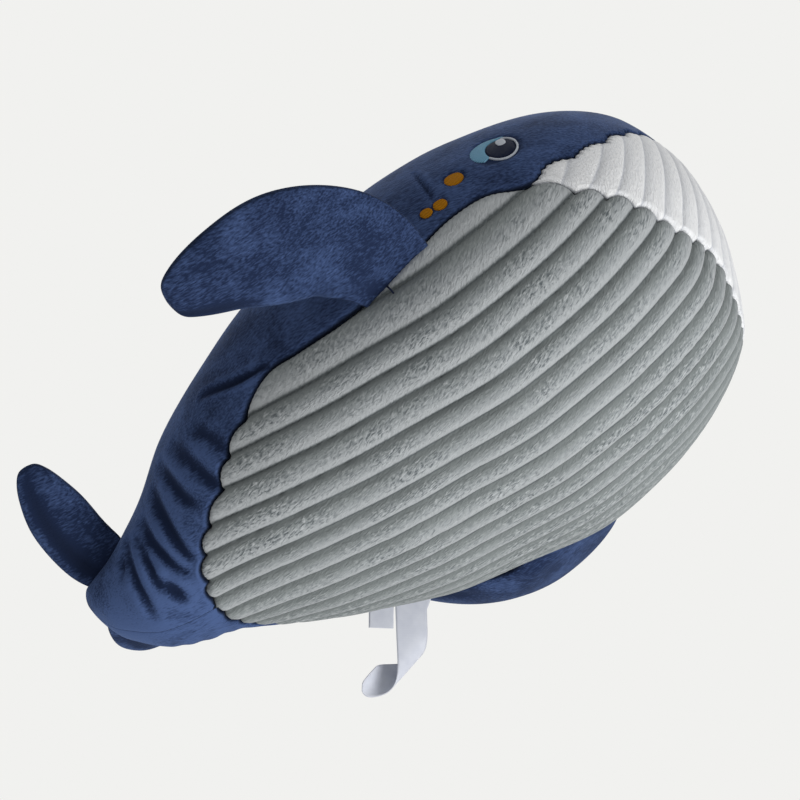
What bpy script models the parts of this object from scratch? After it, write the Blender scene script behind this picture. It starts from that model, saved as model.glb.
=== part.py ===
"""Plush whale: sewn fabric panels over fibre stuffing, with fins, fluke lobes, labels and embroidery.

Metres, +Z up. The head points to -Y, the whale's left side to +X, and it rests on its belly:
the origin is in the middle of the small flat that the belly makes on the floor.

A place on the body is a pair (u, angle). u runs from 0 at the tail end to 1 at the nose tip, and
the angle goes round the body from 0 under the belly to 180 degrees along the back, positive on
the whale's right side and negative on its left.
"""

import math

import bmesh
import bpy
from mathutils import Matrix, Vector

# Driving dimensions of the body, in metres
BODY_LENGTH = 0.400
BODY_WIDTH = 0.228
BODY_HEIGHT = 0.213
REST_PITCH = math.radians(15.35)
REST_SHARE = 0.505
FLAT_DEPTH = 0.0008

# Cloth, stuffing and the gaps between pieces that touch. The flat faces of the panels lie a little
# under the round body where a limb is sewn on
PANEL_THICKNESS = 0.0025
BELLY_THICKNESS = 0.0040
SEAM_GAP = 0.0008
SEAT_GAP = 0.0003
FACET_SAG = 0.00035
STUFFING_GAP = 0.0027
LIMB_STUFFING_GAP = 0.0014

# Fins: the root is a chord of the flank seam
FIN_REACH = 0.082
FIN_BEND_REACH = 0.069
FIN_SWEEP = 0.0965
FIN_CHORD = 0.070
FIN_THICKNESS = 0.021
FIN_CLOTH = 0.0014
RIGHT_FIN_LIFT = math.radians(8.0)
LEFT_FIN_LIFT = math.radians(32.0)
RIGHT_FIN_TIP_RISE = 0.004
LEFT_FIN_TIP_RISE = 0.050

# Fluke lobes: the root is a chord on the upper side of the tail end
FLUKE_REACH = 0.064
FLUKE_BEND_REACH = 0.018
FLUKE_SWEEP = -0.0245
FLUKE_CHORD = 0.036
FLUKE_THICKNESS = 0.015
FLUKE_CLOTH = 0.0014
FLUKE_TIP_RISE = 0.0033
FLUKE_LIFT = math.radians(28.0)

# Embroidery
THREAD_HEIGHT = 0.0009
EYE_HALF_WIDTH = 0.0097
EYE_HALF_HEIGHT = 0.0122
EYE_RING_WIDTH = 0.0019
EYE_SHADE_WIDTH = 0.0092
RING_START = math.radians(-152.0)
RING_END = math.radians(70.0)
SHADE_START = math.radians(76.0)
SHADE_END = math.radians(202.0)
HIGHLIGHT_HALF_WIDTH = 0.0030
HIGHLIGHT_HALF_HEIGHT = 0.0048

# Labels and the closing stitch
CARE_LABEL_WIDTH = 0.0180
CARE_LABEL_LENGTH = 0.0760
CARE_LABEL_THICKNESS = 0.0006
SIDE_TAG_WIDTH = 0.0140
SIDE_TAG_LENGTH = 0.0160
SIDE_TAG_THICKNESS = 0.0012
LABEL_DROOP = math.radians(34.0)
LABEL_SWEEP = math.radians(19.0)
LABEL_ROLL_START = 0.0330
LABEL_ROLL_RADIUS = 0.0070
LABEL_ROLL_SKEW = math.radians(45.0)
STITCH_LENGTH = 0.0065
STITCH_THICKNESS = 0.0010

# Metres of seam that each radian round the brow counts as, which spreads the mesh rows over the head
BROW_TURN_PACE = 0.0700

# Small openings that the panels leave where many meet
TAIL_HOLE_SHARE = 0.00003
MUZZLE_CORNER_SHARE = 0.2

# Body stations from the tail end: share of the length, share of the half width,
# and rise as a share of the height
BODY_STATION_SHARES = (
    (0.0000, 0.000, -0.010),
    (0.0108, 0.137, -0.048),
    (0.0263, 0.186, -0.072),
    (0.0580, 0.262, -0.105),
    (0.0945, 0.325, -0.108),
    (0.1457, 0.403, -0.096),
    (0.2130, 0.557, -0.088),
    (0.2870, 0.694, -0.098),
    (0.4076, 0.866, -0.117),
    (0.4980, 0.934, -0.132),
    (0.6140, 0.998, -0.155),
    (0.6990, 0.987, -0.159),
    (0.7935, 0.918, -0.162),
    (0.8700, 0.814, -0.155),
    (0.9270, 0.674, -0.147),
    (0.9620, 0.495, -0.114),
    (1.0000, 0.000, -0.066),
)

# Seams on the right side: share of the length from the tail end, and degrees round from under the belly
FLANK_SEAM_SHARES = (
    (0.1370, 0.0),
    (0.1410, 16.0),
    (0.1600, 36.0),
    (0.1900, 49.0),
    (0.2320, 58.0),
    (0.2650, 67.0),
    (0.3040, 73.0),
    (0.3420, 76.5),
    (0.3920, 80.0),
    (0.4300, 77.8),
    (0.4980, 76.5),
    (0.5700, 75.7),
    (0.6410, 78.0),
    (0.7020, 81.4),
    (0.7540, 82.4),
    (0.7900, 80.4),
    (0.8200, 78.9),
)
MOUTH_LINE_SHARES = (
    (0.9595, 0.0),
    (0.9510, 20.0),
    (0.9390, 33.0),
    (0.9270, 44.5),
    (0.9090, 55.5),
    (0.8830, 63.5),
    (0.8550, 70.5),
    (0.8200, 78.9),
)
BROW_SEAM_SHARES = (
    (0.8200, 78.9),
    (0.8560, 82.0),
    (0.8900, 83.2),
    (0.9230, 86.5),
    (0.9500, 91.5),
    (0.9760, 105.0),
    (0.9900, 130.0),
    (0.9950, 180.0),
)

# Places of the embroidery and of the roots, as shares of the length and degrees round, and the radii
# of the dots as shares of the length
EYE_PLACE_SHARES = (0.8160, 101.5)
LARGE_DOT_SHARE = 0.01425
MIDDLE_DOT_SHARE = 0.01050
SMALL_DOT_SHARE = 0.00920
DOT_PLACE_SHARES = ((0.7400, 96.2), (0.7046, 88.7), (0.6825, 88.7))
FIN_ROOT_SHARES = (0.541, 0.657)
FLUKE_ROOT_SHARES = (0.0108, 0.0945)
FLUKE_ROOT_ANGLE = math.radians(130.0)
CARE_LABEL_SHARE = 0.3560
SIDE_TAG_SHARE = 0.3080
STITCH_SHARE = 0.5820

# Width of the shade beside the eye: at its ends, and how far back its widest point lies
SHADE_END_SHARE = 0.35
SHADE_SKEW_SHARE = 0.8

# Half width of the limbs along them, from root to tip, as a share of half the chord
FIN_WIDTH_SHARES = (
    (0.00, 0.775),
    (0.10, 0.863),
    (0.20, 0.943),
    (0.42, 1.00),
    (0.60, 0.79),
    (0.80, 0.51),
    (0.92, 0.30),
    (1.00, 0.00),
)
FLUKE_WIDTH_SHARES = (
    (0.00, 1.00),
    (0.20, 1.02),
    (0.45, 1.00),
    (0.65, 0.76),
    (0.82, 0.48),
    (0.93, 0.26),
    (1.00, 0.00),
)
LIMB_PEAK_SHARE = 0.45

# Counts of mesh faces
TAIL_COLUMNS = 4
CORNER_COLUMNS = 8
FLANK_COLUMNS = 12
BACK_ROWS = 8
MUZZLE_ROWS = 4
LIMB_ROWS = 8
LIMB_COLUMNS = 8
STUFFING_ROWS = 5
EYE_COLUMNS = 10
SHADE_ROWS = 4
PUPIL_COLUMNS = 4
HIGHLIGHT_COLUMNS = 4
DOT_COLUMNS = 4
STITCH_ROWS = 4
LABEL_ROWS = 14
LABEL_COLUMNS = 4
CURVE_SAMPLES = 240
SIDES = ((1, "right"), (-1, "left"))

# Colours as linear RGB
NAVY = (0.030, 0.050, 0.110, 1.0)
GREY = (0.330, 0.345, 0.350, 1.0)
WHITE = (0.760, 0.770, 0.780, 1.0)
PALE_BLUE = (0.130, 0.310, 0.450, 1.0)
OCHRE = (0.420, 0.170, 0.015, 1.0)
FIBRE = (0.800, 0.800, 0.780, 1.0)
LABEL_WHITE = (0.640, 0.660, 0.720, 1.0)

# Roughness of the finishes
RIBBED_ROUGHNESS = 0.95
SMOOTH_ROUGHNESS = 0.9
FIBRE_ROUGHNESS = 1.0
THREAD_ROUGHNESS = 0.6
LABEL_ROUGHNESS = 0.5


def clear_scene():
    """Remove the objects that a new file starts with."""
    for old in list(bpy.data.objects):
        bpy.data.objects.remove(old, do_unlink=True)


def along_to_u(share):
    """Turn a share of the body's length into u, whose steps are short near both rounded ends."""
    return math.acos(1.0 - 2.0 * min(max(share, 0.0), 1.0)) / math.pi


def u_to_along(u):
    """Turn u back into a share of the body's length."""
    return (1.0 - math.cos(math.pi * u)) / 2.0


def slopes_of(points):
    """Slope of each value column at each point of a table whose first column is the position."""
    last = len(points) - 1
    slopes = []
    for index, point in enumerate(points):
        before = points[max(index - 1, 0)]
        after = points[min(index + 1, last)]
        run = after[0] - before[0]
        slopes.append([(high - low) / run for low, high in zip(before[1:], after[1:])])
    return slopes


def smooth_lookup(points, slopes, position):
    """Read a table of points through a smooth curve."""
    index = 0
    while index < len(points) - 2 and position > points[index + 1][0]:
        index += 1
    start = points[index]
    end = points[index + 1]
    run = end[0] - start[0]
    t = (position - start[0]) / run
    values = []
    for column in range(1, len(start)):
        slope_start = slopes[index][column - 1] * run
        slope_end = slopes[index + 1][column - 1] * run
        values.append(
            (2 * t**3 - 3 * t**2 + 1) * start[column]
            + (t**3 - 2 * t**2 + t) * slope_start
            + (3 * t**2 - 2 * t**3) * end[column]
            + (t**3 - t**2) * slope_end
        )
    return values


BODY_STATIONS = [(along_to_u(along), girth, rise) for along, girth, rise in BODY_STATION_SHARES]
BODY_SLOPES = slopes_of(BODY_STATIONS)


def body_section(u):
    """Half width, half height and centre of the body's oval section at u, before it is laid down."""
    girth, rise = smooth_lookup(BODY_STATIONS, BODY_SLOPES, u)
    centre = Vector((0.0, -u_to_along(u) * BODY_LENGTH, rise * BODY_HEIGHT))
    return girth * BODY_WIDTH / 2, girth * BODY_HEIGHT / 2, centre


def raw_point(u, angle):
    """Point on the body's surface before it is laid down."""
    half_width, half_height, centre = body_section(u)
    return centre + Vector((-half_width * math.sin(angle), 0.0, -half_height * math.cos(angle)))


def laid_matrix():
    """Pitch the body to its resting slope and put the lowest belly point a little under the floor."""
    pitch = Matrix.Rotation(-REST_PITCH, 4, "X")
    lowest = min((pitch @ raw_point(step / CURVE_SAMPLES, 0.0)).z for step in range(1, CURVE_SAMPLES))
    rest = pitch @ raw_point(along_to_u(REST_SHARE), 0.0)
    return Matrix.Translation((0.0, -rest.y, -lowest - FLAT_DEPTH)) @ pitch


LAID = laid_matrix()


def body_point(u, angle, lift=0.0):
    """Point at a height above the body's surface, in the world."""
    step = 1.0 / CURVE_SAMPLES**2
    u = min(max(u, step), 1.0 - step)
    along = (raw_point(u + step, angle) - raw_point(u - step, angle)).normalized()
    around = Vector((-BODY_WIDTH * math.cos(angle), 0.0, BODY_HEIGHT * math.sin(angle)))
    normal = along.cross(around).normalized()
    return LAID @ (raw_point(u, angle) + normal * lift)


def to_face_plane(place):
    """Lay (u, angle) out as seen from the nose, where it is smooth across the nose tip."""
    reach = 1.0 - place[0]
    return Vector((reach * math.sin(place[1]), -reach * math.cos(place[1])))


def from_face_plane(point):
    """Turn a point of the nose plane back into (u, angle)."""
    return Vector((1.0 - point.length, math.atan2(point.x, -point.y)))


def seam_curve(shares, in_face_plane=False, turn_pace=0.0):
    """Return a function of t, from 0 to 1, that runs along a seam at an even pace.

    turn_pace counts each radian round the body as so many metres more of seam.
    """
    places = [Vector((along_to_u(along), math.radians(degrees))) for along, degrees in shares]
    if in_face_plane:
        places = [to_face_plane(place) for place in places]
    table = [(index, place.x, place.y) for index, place in enumerate(places)]
    slopes = slopes_of(table)
    span = len(table) - 1
    steps = range(CURVE_SAMPLES + 1)
    samples = [Vector(smooth_lookup(table, slopes, span * step / CURVE_SAMPLES)) for step in steps]
    if in_face_plane:
        samples = [from_face_plane(sample) for sample in samples]
        samples = [Vector((sample.x, abs(sample.y))) for sample in samples]
    lengths = [0.0]
    for before, after in zip(samples, samples[1:]):
        run = (raw_point(*after) - raw_point(*before)).length
        lengths.append(lengths[-1] + run + abs(after.y - before.y) * turn_pace)

    def curve(t):
        target = min(max(t, 0.0), 1.0) * lengths[-1]
        index = 0
        while index < CURVE_SAMPLES - 1 and lengths[index + 1] < target:
            index += 1
        part = (target - lengths[index]) / (lengths[index + 1] - lengths[index])
        return samples[index].lerp(samples[index + 1], part)

    return curve


flank_seam = seam_curve(FLANK_SEAM_SHARES)
mouth_line = seam_curve(MOUTH_LINE_SHARES, in_face_plane=True)
brow_seam = seam_curve(BROW_SEAM_SHARES, in_face_plane=True, turn_pace=BROW_TURN_PACE)
CORNER_SHARE = CORNER_COLUMNS / (CORNER_COLUMNS + FLANK_COLUMNS)
TAIL_SHARE = TAIL_COLUMNS / (TAIL_COLUMNS + CORNER_COLUMNS + FLANK_COLUMNS)


def mirrored(place):
    """The same place on the other side of the body."""
    return Vector((place.x, -place.y))


def fill_patch(low, high, rear, front, a, b):
    """Blend four seams into a surface: a runs from rear to front and b from low to high."""
    sides = low(a) * (1 - b) + high(a) * b
    ends = rear(b) * (1 - a) + front(b) * a
    corners = (low(0.0) * (1 - b) + high(0.0) * b) * (1 - a) + (low(1.0) * (1 - b) + high(1.0) * b) * a
    return sides + ends - corners


def inset(t, margin):
    """Move a patch coordinate in from both of its ends."""
    return margin + t * (1.0 - 2.0 * margin)


def collection_named(name):
    """Make a collection in the scene."""
    collection = bpy.data.collections.new(name)
    bpy.context.scene.collection.children.link(collection)
    return collection


def fabric(name, colour, roughness):
    """Plain fabric material."""
    material = bpy.data.materials.new(name)
    material.use_nodes = True
    shader = material.node_tree.nodes["Principled BSDF"]
    shader.inputs["Base Color"].default_value = colour
    shader.inputs["Roughness"].default_value = roughness
    shader.inputs["Metallic"].default_value = 0.0
    material.diffuse_color = colour
    return material


class Workshop:
    """The collections that pieces go in, and the empties that carry the moving ones."""

    def __init__(self):
        self.parts = collection_named("plush_whale")
        self.cutters = collection_named("cutters")

    def mount(self, name, point, parent=None):
        """Empty that stands on a joint."""
        empty = bpy.data.objects.new(name, None)
        empty.location = point
        self.parts.objects.link(empty)
        if parent:
            empty.parent = parent
            empty.location = Vector(point) - parent.location
        return empty

    def piece(self, name, mesh, material, carrier):
        """Object for a mesh given in the world, parented to the empty that carries it."""
        mesh.transform(Matrix.Translation(-carrier.matrix_world.translation))
        mesh.materials.append(fabric(name, *material))
        mesh.shade_smooth()
        thing = bpy.data.objects.new(name, mesh)
        self.parts.objects.link(thing)
        thing.parent = carrier
        return thing

    def floor_cutter(self):
        """Block under the floor that cuts the belly flat."""
        bpy.ops.mesh.primitive_cube_add(size=BODY_LENGTH, location=(0.0, 0.0, -BODY_LENGTH / 2))
        block = bpy.context.object
        block.name = "floor_cutter"
        for owner in list(block.users_collection):
            owner.objects.unlink(block)
        self.cutters.objects.link(block)
        block.display_type = "WIRE"
        block.hide_render = True
        return block


def slab_mesh(name, columns, rows, place):
    """Closed slab from a grid: place(a, b, layer) gives the point of the inner (0) or outer (1) layer."""
    body = bmesh.new()
    bmesh.ops.create_grid(body, x_segments=columns, y_segments=rows, size=0.5)
    raised = bmesh.ops.extrude_face_region(body, geom=body.faces[:])["geom"]
    outer = {part for part in raised if isinstance(part, bmesh.types.BMVert)}
    for vert in body.verts:
        vert.co = place(vert.co.x + 0.5, vert.co.y + 0.5, 1 if vert in outer else 0)
    bmesh.ops.remove_doubles(body, verts=body.verts, dist=SEAT_GAP / 100)
    return finished_mesh(name, body)


def finished_mesh(name, body):
    """Turn a closed bmesh into a mesh whose faces point out."""
    bmesh.ops.recalc_face_normals(body, faces=body.faces)
    if body.calc_volume(signed=True) < 0:
        bmesh.ops.reverse_faces(body, faces=body.faces)
    mesh = bpy.data.meshes.new(name)
    body.to_mesh(mesh)
    body.free()
    return mesh


def belly_patch(a, b):
    """Place on the belly panel."""
    side = 2.0 * b - 1.0

    def mirrored_if_left(place):
        return place if side >= 0 else mirrored(place)

    def right(t):
        return flank_seam(CORNER_SHARE + t * (1.0 - CORNER_SHARE))

    def left(t):
        return mirrored(right(t))

    def rear(_):
        return mirrored_if_left(flank_seam(CORNER_SHARE * abs(side)))

    def front(_):
        return mirrored_if_left(mouth_line(abs(side)))

    return fill_patch(left, right, rear, front, a, b)


def back_patch(a, b):
    """Place on the right back panel: b runs from the belly up to the seam along the back."""
    tail = along_to_u(TAIL_HOLE_SHARE)
    belly_start = flank_seam(0.0)
    snout = brow_seam(1.0)

    def low(t):
        if t < TAIL_SHARE:
            return Vector((tail, 0.0)).lerp(belly_start, t / TAIL_SHARE)
        return flank_seam((t - TAIL_SHARE) / (1.0 - TAIL_SHARE))

    def high(t):
        return Vector((tail, math.pi)).lerp(snout, t)

    def rear(t):
        return Vector((tail, math.pi * t))

    return fill_patch(low, high, rear, brow_seam, a, b)


def muzzle_patch(a, b):
    """Place on the muzzle panel: a runs from the left mouth corner to the right one."""
    side = 2.0 * a - 1.0

    def across(seam, t):
        place = seam(t) if side >= 0 else mirrored(seam(t))
        return to_face_plane(place)

    low = across(mouth_line, abs(side))
    high = across(brow_seam, 1.0 - abs(side))
    return from_face_plane(low.lerp(high, b))


def build_panels(shop, body):
    """The four panels that make the outside of the body."""
    span = body_point(*flank_seam(CORNER_SHARE)) - body_point(*flank_seam(1.0))
    side_margin = SEAM_GAP / 2 / span.length
    width_margin = SEAM_GAP / 2 / BODY_WIDTH
    muzzle_column = 1.0 / (2 * BACK_ROWS)

    def belly(a, b, layer):
        place = belly_patch(inset(a, side_margin), inset(b, width_margin))
        return body_point(*place, 0.0 if layer else -BELLY_THICKNESS)

    def muzzle(a, b, layer):
        end = min(max(a, muzzle_column), 1.0 - muzzle_column)

        def on_column(t):
            corner_cut = MUZZLE_CORNER_SHARE if a != end else 0.0
            return muzzle_patch(a, t).lerp(muzzle_patch(end, t), corner_cut)

        height = (body_point(*on_column(1.0)) - body_point(*on_column(0.0))).length
        place = on_column(inset(b, SEAM_GAP / 2 / height))
        return body_point(*place, 0.0 if layer else -PANEL_THICKNESS)

    def back(side):
        def place_back(a, b, layer):
            place = back_patch(inset(a, side_margin), inset(b, width_margin))
            point = body_point(*place, 0.0 if layer else -PANEL_THICKNESS)
            point.x = -side * max(-point.x, SEAM_GAP / 2)
            return point

        return place_back

    mesh = slab_mesh("belly_panel", FLANK_COLUMNS, 2 * CORNER_COLUMNS, belly)
    panel = shop.piece("belly_panel", mesh, (GREY, RIBBED_ROUGHNESS), body)
    flat = panel.modifiers.new("floor", "BOOLEAN")
    flat.object = shop.floor_cutter()
    flat.operation = "DIFFERENCE"
    flat.solver = "EXACT"
    mesh = slab_mesh("muzzle_panel", 2 * BACK_ROWS, MUZZLE_ROWS, muzzle)
    shop.piece("muzzle_panel", mesh, (WHITE, RIBBED_ROUGHNESS), body)
    columns = TAIL_COLUMNS + CORNER_COLUMNS + FLANK_COLUMNS
    for side, name in SIDES:
        mesh = slab_mesh(f"back_panel_{name}", columns, BACK_ROWS, back(side))
        shop.piece(f"back_panel_{name}", mesh, (NAVY, SMOOTH_ROUGHNESS), body)


def build_body_stuffing(shop, body):
    """Fibre filling that fits inside the panels."""
    ball = bmesh.new()
    around = 2 * CORNER_COLUMNS + TAIL_COLUMNS
    bmesh.ops.create_uvsphere(ball, u_segments=around, v_segments=2 * CORNER_COLUMNS, radius=1.0)
    for vert in ball.verts:
        u = math.acos(min(max(vert.co.z, -1.0), 1.0)) / math.pi
        vert.co = body_point(u, math.atan2(vert.co.x, vert.co.y), -BELLY_THICKNESS - STUFFING_GAP)
    shop.piece("body_stuffing", finished_mesh("body_stuffing", ball), (FIBRE, FIBRE_ROUGHNESS), body)


class Root:
    """Straight line on the body's surface that a limb or a label is sewn along.

    axis runs towards the head, level points straight out to the side, up is square to both, and
    outward is square to the body's surface.
    """

    def __init__(self, rear_place, front_place, side):
        rear = body_point(*rear_place)
        front = body_point(*front_place)
        lateral = Vector((-side, 0.0, 0.0))
        self.side = side
        self.axis = (front - rear).normalized()
        self.level = (lateral - self.axis * lateral.dot(self.axis)).normalized()
        self.up = self.level.cross(self.axis) * side
        self.middle = (rear + front) / 2
        centre_place = rear_place.lerp(front_place, 0.5)
        normal = body_point(*centre_place, BODY_WIDTH) - body_point(*centre_place)
        self.outward = (normal - self.axis * normal.dot(self.axis)).normalized()
        self.line = [body_point(*rear_place.lerp(front_place, k / LIMB_ROWS)) for k in range(LIMB_ROWS + 1)]

    def clear_point(self, radius):
        """Point out from the middle of the line where a rod of this radius is just clear of the body."""
        bulge = max((point - self.middle).dot(self.outward) for point in self.line)
        return self.middle + self.outward * (SEAT_GAP + bulge + radius)


class Limb:
    """Fin or fluke lobe: its planform is a curved leaf, thin along the root and round at the tip."""

    def __init__(self, root, lift, leaf, chord, thickness, cloth, tip_rise, width_shares):
        self.root = root
        self.out = root.level * math.cos(lift) + root.up * math.sin(lift)
        self.normal = root.up * math.cos(lift) - root.level * math.sin(lift)
        self.bend = Vector((leaf[0], 0.0))
        self.tip = Vector((leaf[1], -leaf[2]))
        self.half_chord = chord / 2
        self.edge = cloth + SEAT_GAP / 2
        self.fill = thickness / 2 - self.edge
        self.cloth = cloth
        self.tip_rise = tip_rise
        self.width_shares = width_shares
        self.width_slopes = slopes_of(width_shares)
        self.hinge = root.clear_point(self.edge - FACET_SAG)
        self.start = self.hinge - self.out * self.edge

    def row(self, a):
        """Position along the limb of grid line a: the first row is as short as the root edge is thick."""
        first = 1.0 / LIMB_ROWS
        short = self.edge / (self.bend.length + (self.tip - self.bend).length)
        if a <= first:
            return short * a / first
        return short + (a - first) / (1.0 - first) * (1.0 - short)

    def place(self, v, c, narrowing, height):
        """World point at v along the limb and c across it, at height(x, fullness) from the middle."""
        t = math.sin(v * math.pi / 2)
        centre = (self.bend * t).lerp(self.bend.lerp(self.tip, t), t)
        pace = self.bend.lerp(self.tip - self.bend, t) * 2
        run = pace.normalized()
        width = smooth_lookup(self.width_shares, self.width_slopes, v)[0] * self.half_chord - narrowing
        flat = centre + Vector((-run.y, run.x)) * (math.sin(c * math.pi / 2) * max(width, 0.0))
        full = self.fullness(v) * math.cos(c * math.pi / 2)
        slope = 4 * self.tip_rise * t**3 / pace.length
        square = (self.normal - (self.out * run.x + self.root.axis * run.y) * slope).normalized()
        rise = self.normal * (self.tip_rise * t**4) + square * height(flat.x, full)
        return self.start + self.out * flat.x + self.root.axis * flat.y + rise

    @staticmethod
    def fullness(v):
        """Share of the full thickness: none at the root and at the tip, and all of it at the peak."""
        if v < LIMB_PEAK_SHARE:
            return math.sin(v / LIMB_PEAK_SHARE * math.pi / 2) ** 2
        return math.cos((v - LIMB_PEAK_SHARE) / (1.0 - LIMB_PEAK_SHARE) * math.pi / 2)

    def cloth_mesh(self, name, face):
        """Upper (face 1) or lower (face -1) cloth, which meets the other in the seam round the edge."""

        def height(layer):
            def measure(x, full):
                roll = min(max(x / self.edge, 0.0), 1.0)
                lip = self.cloth * math.sqrt(1.0 - (1.0 - roll) ** 2) if layer else 0.0
                return face * (SEAT_GAP / 2 + lip + full * self.fill)

            return measure

        def place(a, b, layer):
            narrowing = 0.0 if layer or a == 0 else self.cloth
            return self.place(self.row(a), 2.0 * b - 1.0, narrowing, height(layer))

        return slab_mesh(name, LIMB_ROWS, LIMB_COLUMNS, place)

    def stuffing_mesh(self, name):
        """Filling between the two cloths, on the same mesh rows as they are."""
        def place(a, b, layer):
            face = 1 if layer else -1

            def height(_, full):
                return face * (SEAT_GAP / 2 + full * (self.fill - LIMB_STUFFING_GAP))

            narrowing = self.cloth + 2 * LIMB_STUFFING_GAP
            row = self.row((LIMB_ROWS - 1 - (1.0 - a) * STUFFING_ROWS) / LIMB_ROWS)
            return self.place(row, 2.0 * b - 1.0, narrowing, height)

        return slab_mesh(name, STUFFING_ROWS, LIMB_COLUMNS, place)


def build_limb(shop, body, name, limb):
    """Upper cloth, lower cloth and stuffing of one limb, on an empty at its hinge."""
    carrier = shop.mount(f"{name}_hinge", limb.hinge, body)
    bpy.context.view_layer.update()
    for face, part in ((1, "upper"), (-1, "lower")):
        label = f"{name}_{part}_panel"
        shop.piece(label, limb.cloth_mesh(label, face), (NAVY, SMOOTH_ROUGHNESS), carrier)
    shop.piece(f"{name}_stuffing", limb.stuffing_mesh(f"{name}_stuffing"), (FIBRE, FIBRE_ROUGHNESS), carrier)


def side_place(along, angle, side):
    """Place at a share of the length and an angle, on the right (side 1) or left (side -1)."""
    return Vector((along_to_u(along), side * angle))


def flank_place(along, side):
    """Place on the flank seam at a share of the length."""
    degrees = smooth_lookup(FLANK_SEAM_SHARES, slopes_of(FLANK_SEAM_SHARES), along)[0]
    return side_place(along, math.radians(degrees), side)


def build_fins(shop, body):
    """The pair of fins: the left one is lifted higher."""
    poses = ((RIGHT_FIN_LIFT, RIGHT_FIN_TIP_RISE), (LEFT_FIN_LIFT, LEFT_FIN_TIP_RISE))
    for (side, name), (lift, tip_rise) in zip(SIDES, poses):
        root = Root(*(flank_place(along, side) for along in FIN_ROOT_SHARES), side)
        leaf = (FIN_BEND_REACH, FIN_REACH, FIN_SWEEP)
        cloth = (FIN_THICKNESS, FIN_CLOTH, tip_rise)
        limb = Limb(root, lift, leaf, FIN_CHORD, *cloth, FIN_WIDTH_SHARES)
        build_limb(shop, body, f"{name}_fin", limb)


def build_fluke(shop, body):
    """The two lobes of the fluke."""
    for side, name in SIDES:
        root = Root(*(side_place(along, FLUKE_ROOT_ANGLE, side) for along in FLUKE_ROOT_SHARES), side)
        leaf = (FLUKE_BEND_REACH, FLUKE_REACH, FLUKE_SWEEP)
        cloth = (FLUKE_THICKNESS, FLUKE_CLOTH, FLUKE_TIP_RISE)
        limb = Limb(root, FLUKE_LIFT, leaf, FLUKE_CHORD, *cloth, FLUKE_WIDTH_SHARES)
        build_limb(shop, body, f"{name}_fluke_lobe", limb)


def surface_place(along, degrees, side, shift, lift):
    """World point near a place on the body: shift is the way forward and up along the surface."""
    step = 1.0 / CURVE_SAMPLES
    place = side_place(along, math.radians(degrees), side)
    pace = (body_point(place.x + step, place.y) - body_point(place.x - step, place.y)).length / (2 * step)
    girth = (body_point(place.x, place.y + step) - body_point(place.x, place.y - step)).length / (2 * step)
    return body_point(place.x + shift.x / pace, place.y + side * shift.y / girth, lift)


def disc_mesh(name, centre, half_sizes, base, columns, mesh_place):
    """Oval pad of thread: a square grid rounded into an oval."""

    def place(a, b, layer):
        x = 2.0 * a - 1.0
        y = 2.0 * b - 1.0
        round_x = x * math.sqrt(1.0 - y * y / 2)
        round_y = y * math.sqrt(1.0 - x * x / 2)
        shift = centre + Vector((round_x * half_sizes[0], round_y * half_sizes[1]))
        return mesh_place(shift, base + layer * THREAD_HEIGHT)

    return slab_mesh(name, columns, columns, place)


def build_eye(shop, body, side, name):
    """Embroidered eye: pupil, white ring, pale shade above and behind it, and highlight on the pupil."""

    def on_eye(shift, lift):
        return surface_place(*EYE_PLACE_SHARES, side, shift, lift)

    pupil_width = EYE_HALF_WIDTH - EYE_RING_WIDTH
    pupil_height = EYE_HALF_HEIGHT - EYE_RING_WIDTH

    def band(first, last, outer_width):
        def place(a, b, layer):
            turn = first + (last - first) * a
            grow = SEAT_GAP + b * outer_width(a)
            shift = Vector(((pupil_width + grow) * math.cos(turn), (pupil_height + grow) * math.sin(turn)))
            return on_eye(shift, SEAT_GAP + layer * THREAD_HEIGHT)

        return place

    def ring_width(_):
        return EYE_RING_WIDTH - SEAT_GAP

    def shade_width(a):
        middle = math.sin(math.pi * (1.0 - a) ** SHADE_SKEW_SHARE)
        return EYE_SHADE_WIDTH * (SHADE_END_SHARE + (1.0 - SHADE_END_SHARE) * middle)

    ring_band = band(RING_START, RING_END, ring_width)
    ring = slab_mesh(f"{name}_eye_ring", EYE_COLUMNS, 1, ring_band)
    shop.piece(f"{name}_eye_ring", ring, (WHITE, THREAD_ROUGHNESS), body)
    shade_band = band(SHADE_START, SHADE_END, shade_width)
    shade = slab_mesh(f"{name}_eye_shade", EYE_COLUMNS, SHADE_ROWS, shade_band)
    shop.piece(f"{name}_eye_shade", shade, (PALE_BLUE, THREAD_ROUGHNESS), body)
    size = (pupil_width, pupil_height)
    pupil = disc_mesh(f"{name}_pupil", Vector((0.0, 0.0)), size, SEAT_GAP, PUPIL_COLUMNS, on_eye)
    shop.piece(f"{name}_pupil", pupil, (NAVY, THREAD_ROUGHNESS), body)
    centre = Vector((pupil_width - HIGHLIGHT_HALF_WIDTH, pupil_height - HIGHLIGHT_HALF_HEIGHT)) / 2
    size = (HIGHLIGHT_HALF_WIDTH, HIGHLIGHT_HALF_HEIGHT)
    base = THREAD_HEIGHT + 2 * SEAT_GAP
    spark = disc_mesh(f"{name}_eye_highlight", centre, size, base, HIGHLIGHT_COLUMNS, on_eye)
    shop.piece(f"{name}_eye_highlight", spark, (WHITE, THREAD_ROUGHNESS), body)


def build_dots(shop, body, side, name):
    """Three round dots of thread behind each eye."""
    sizes = (("large", LARGE_DOT_SHARE), ("middle", MIDDLE_DOT_SHARE), ("small", SMALL_DOT_SHARE))
    for (size, share), (along, degrees) in zip(sizes, DOT_PLACE_SHARES):
        radius = share * BODY_LENGTH

        def on_dot(shift, lift):
            return surface_place(along, degrees, side, shift, lift)

        label = f"{name}_{size}_dot"
        dot = disc_mesh(label, Vector((0.0, 0.0)), (radius, radius), SEAT_GAP, DOT_COLUMNS, on_dot)
        shop.piece(label, dot, (OCHRE, THREAD_ROUGHNESS), body)


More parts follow.
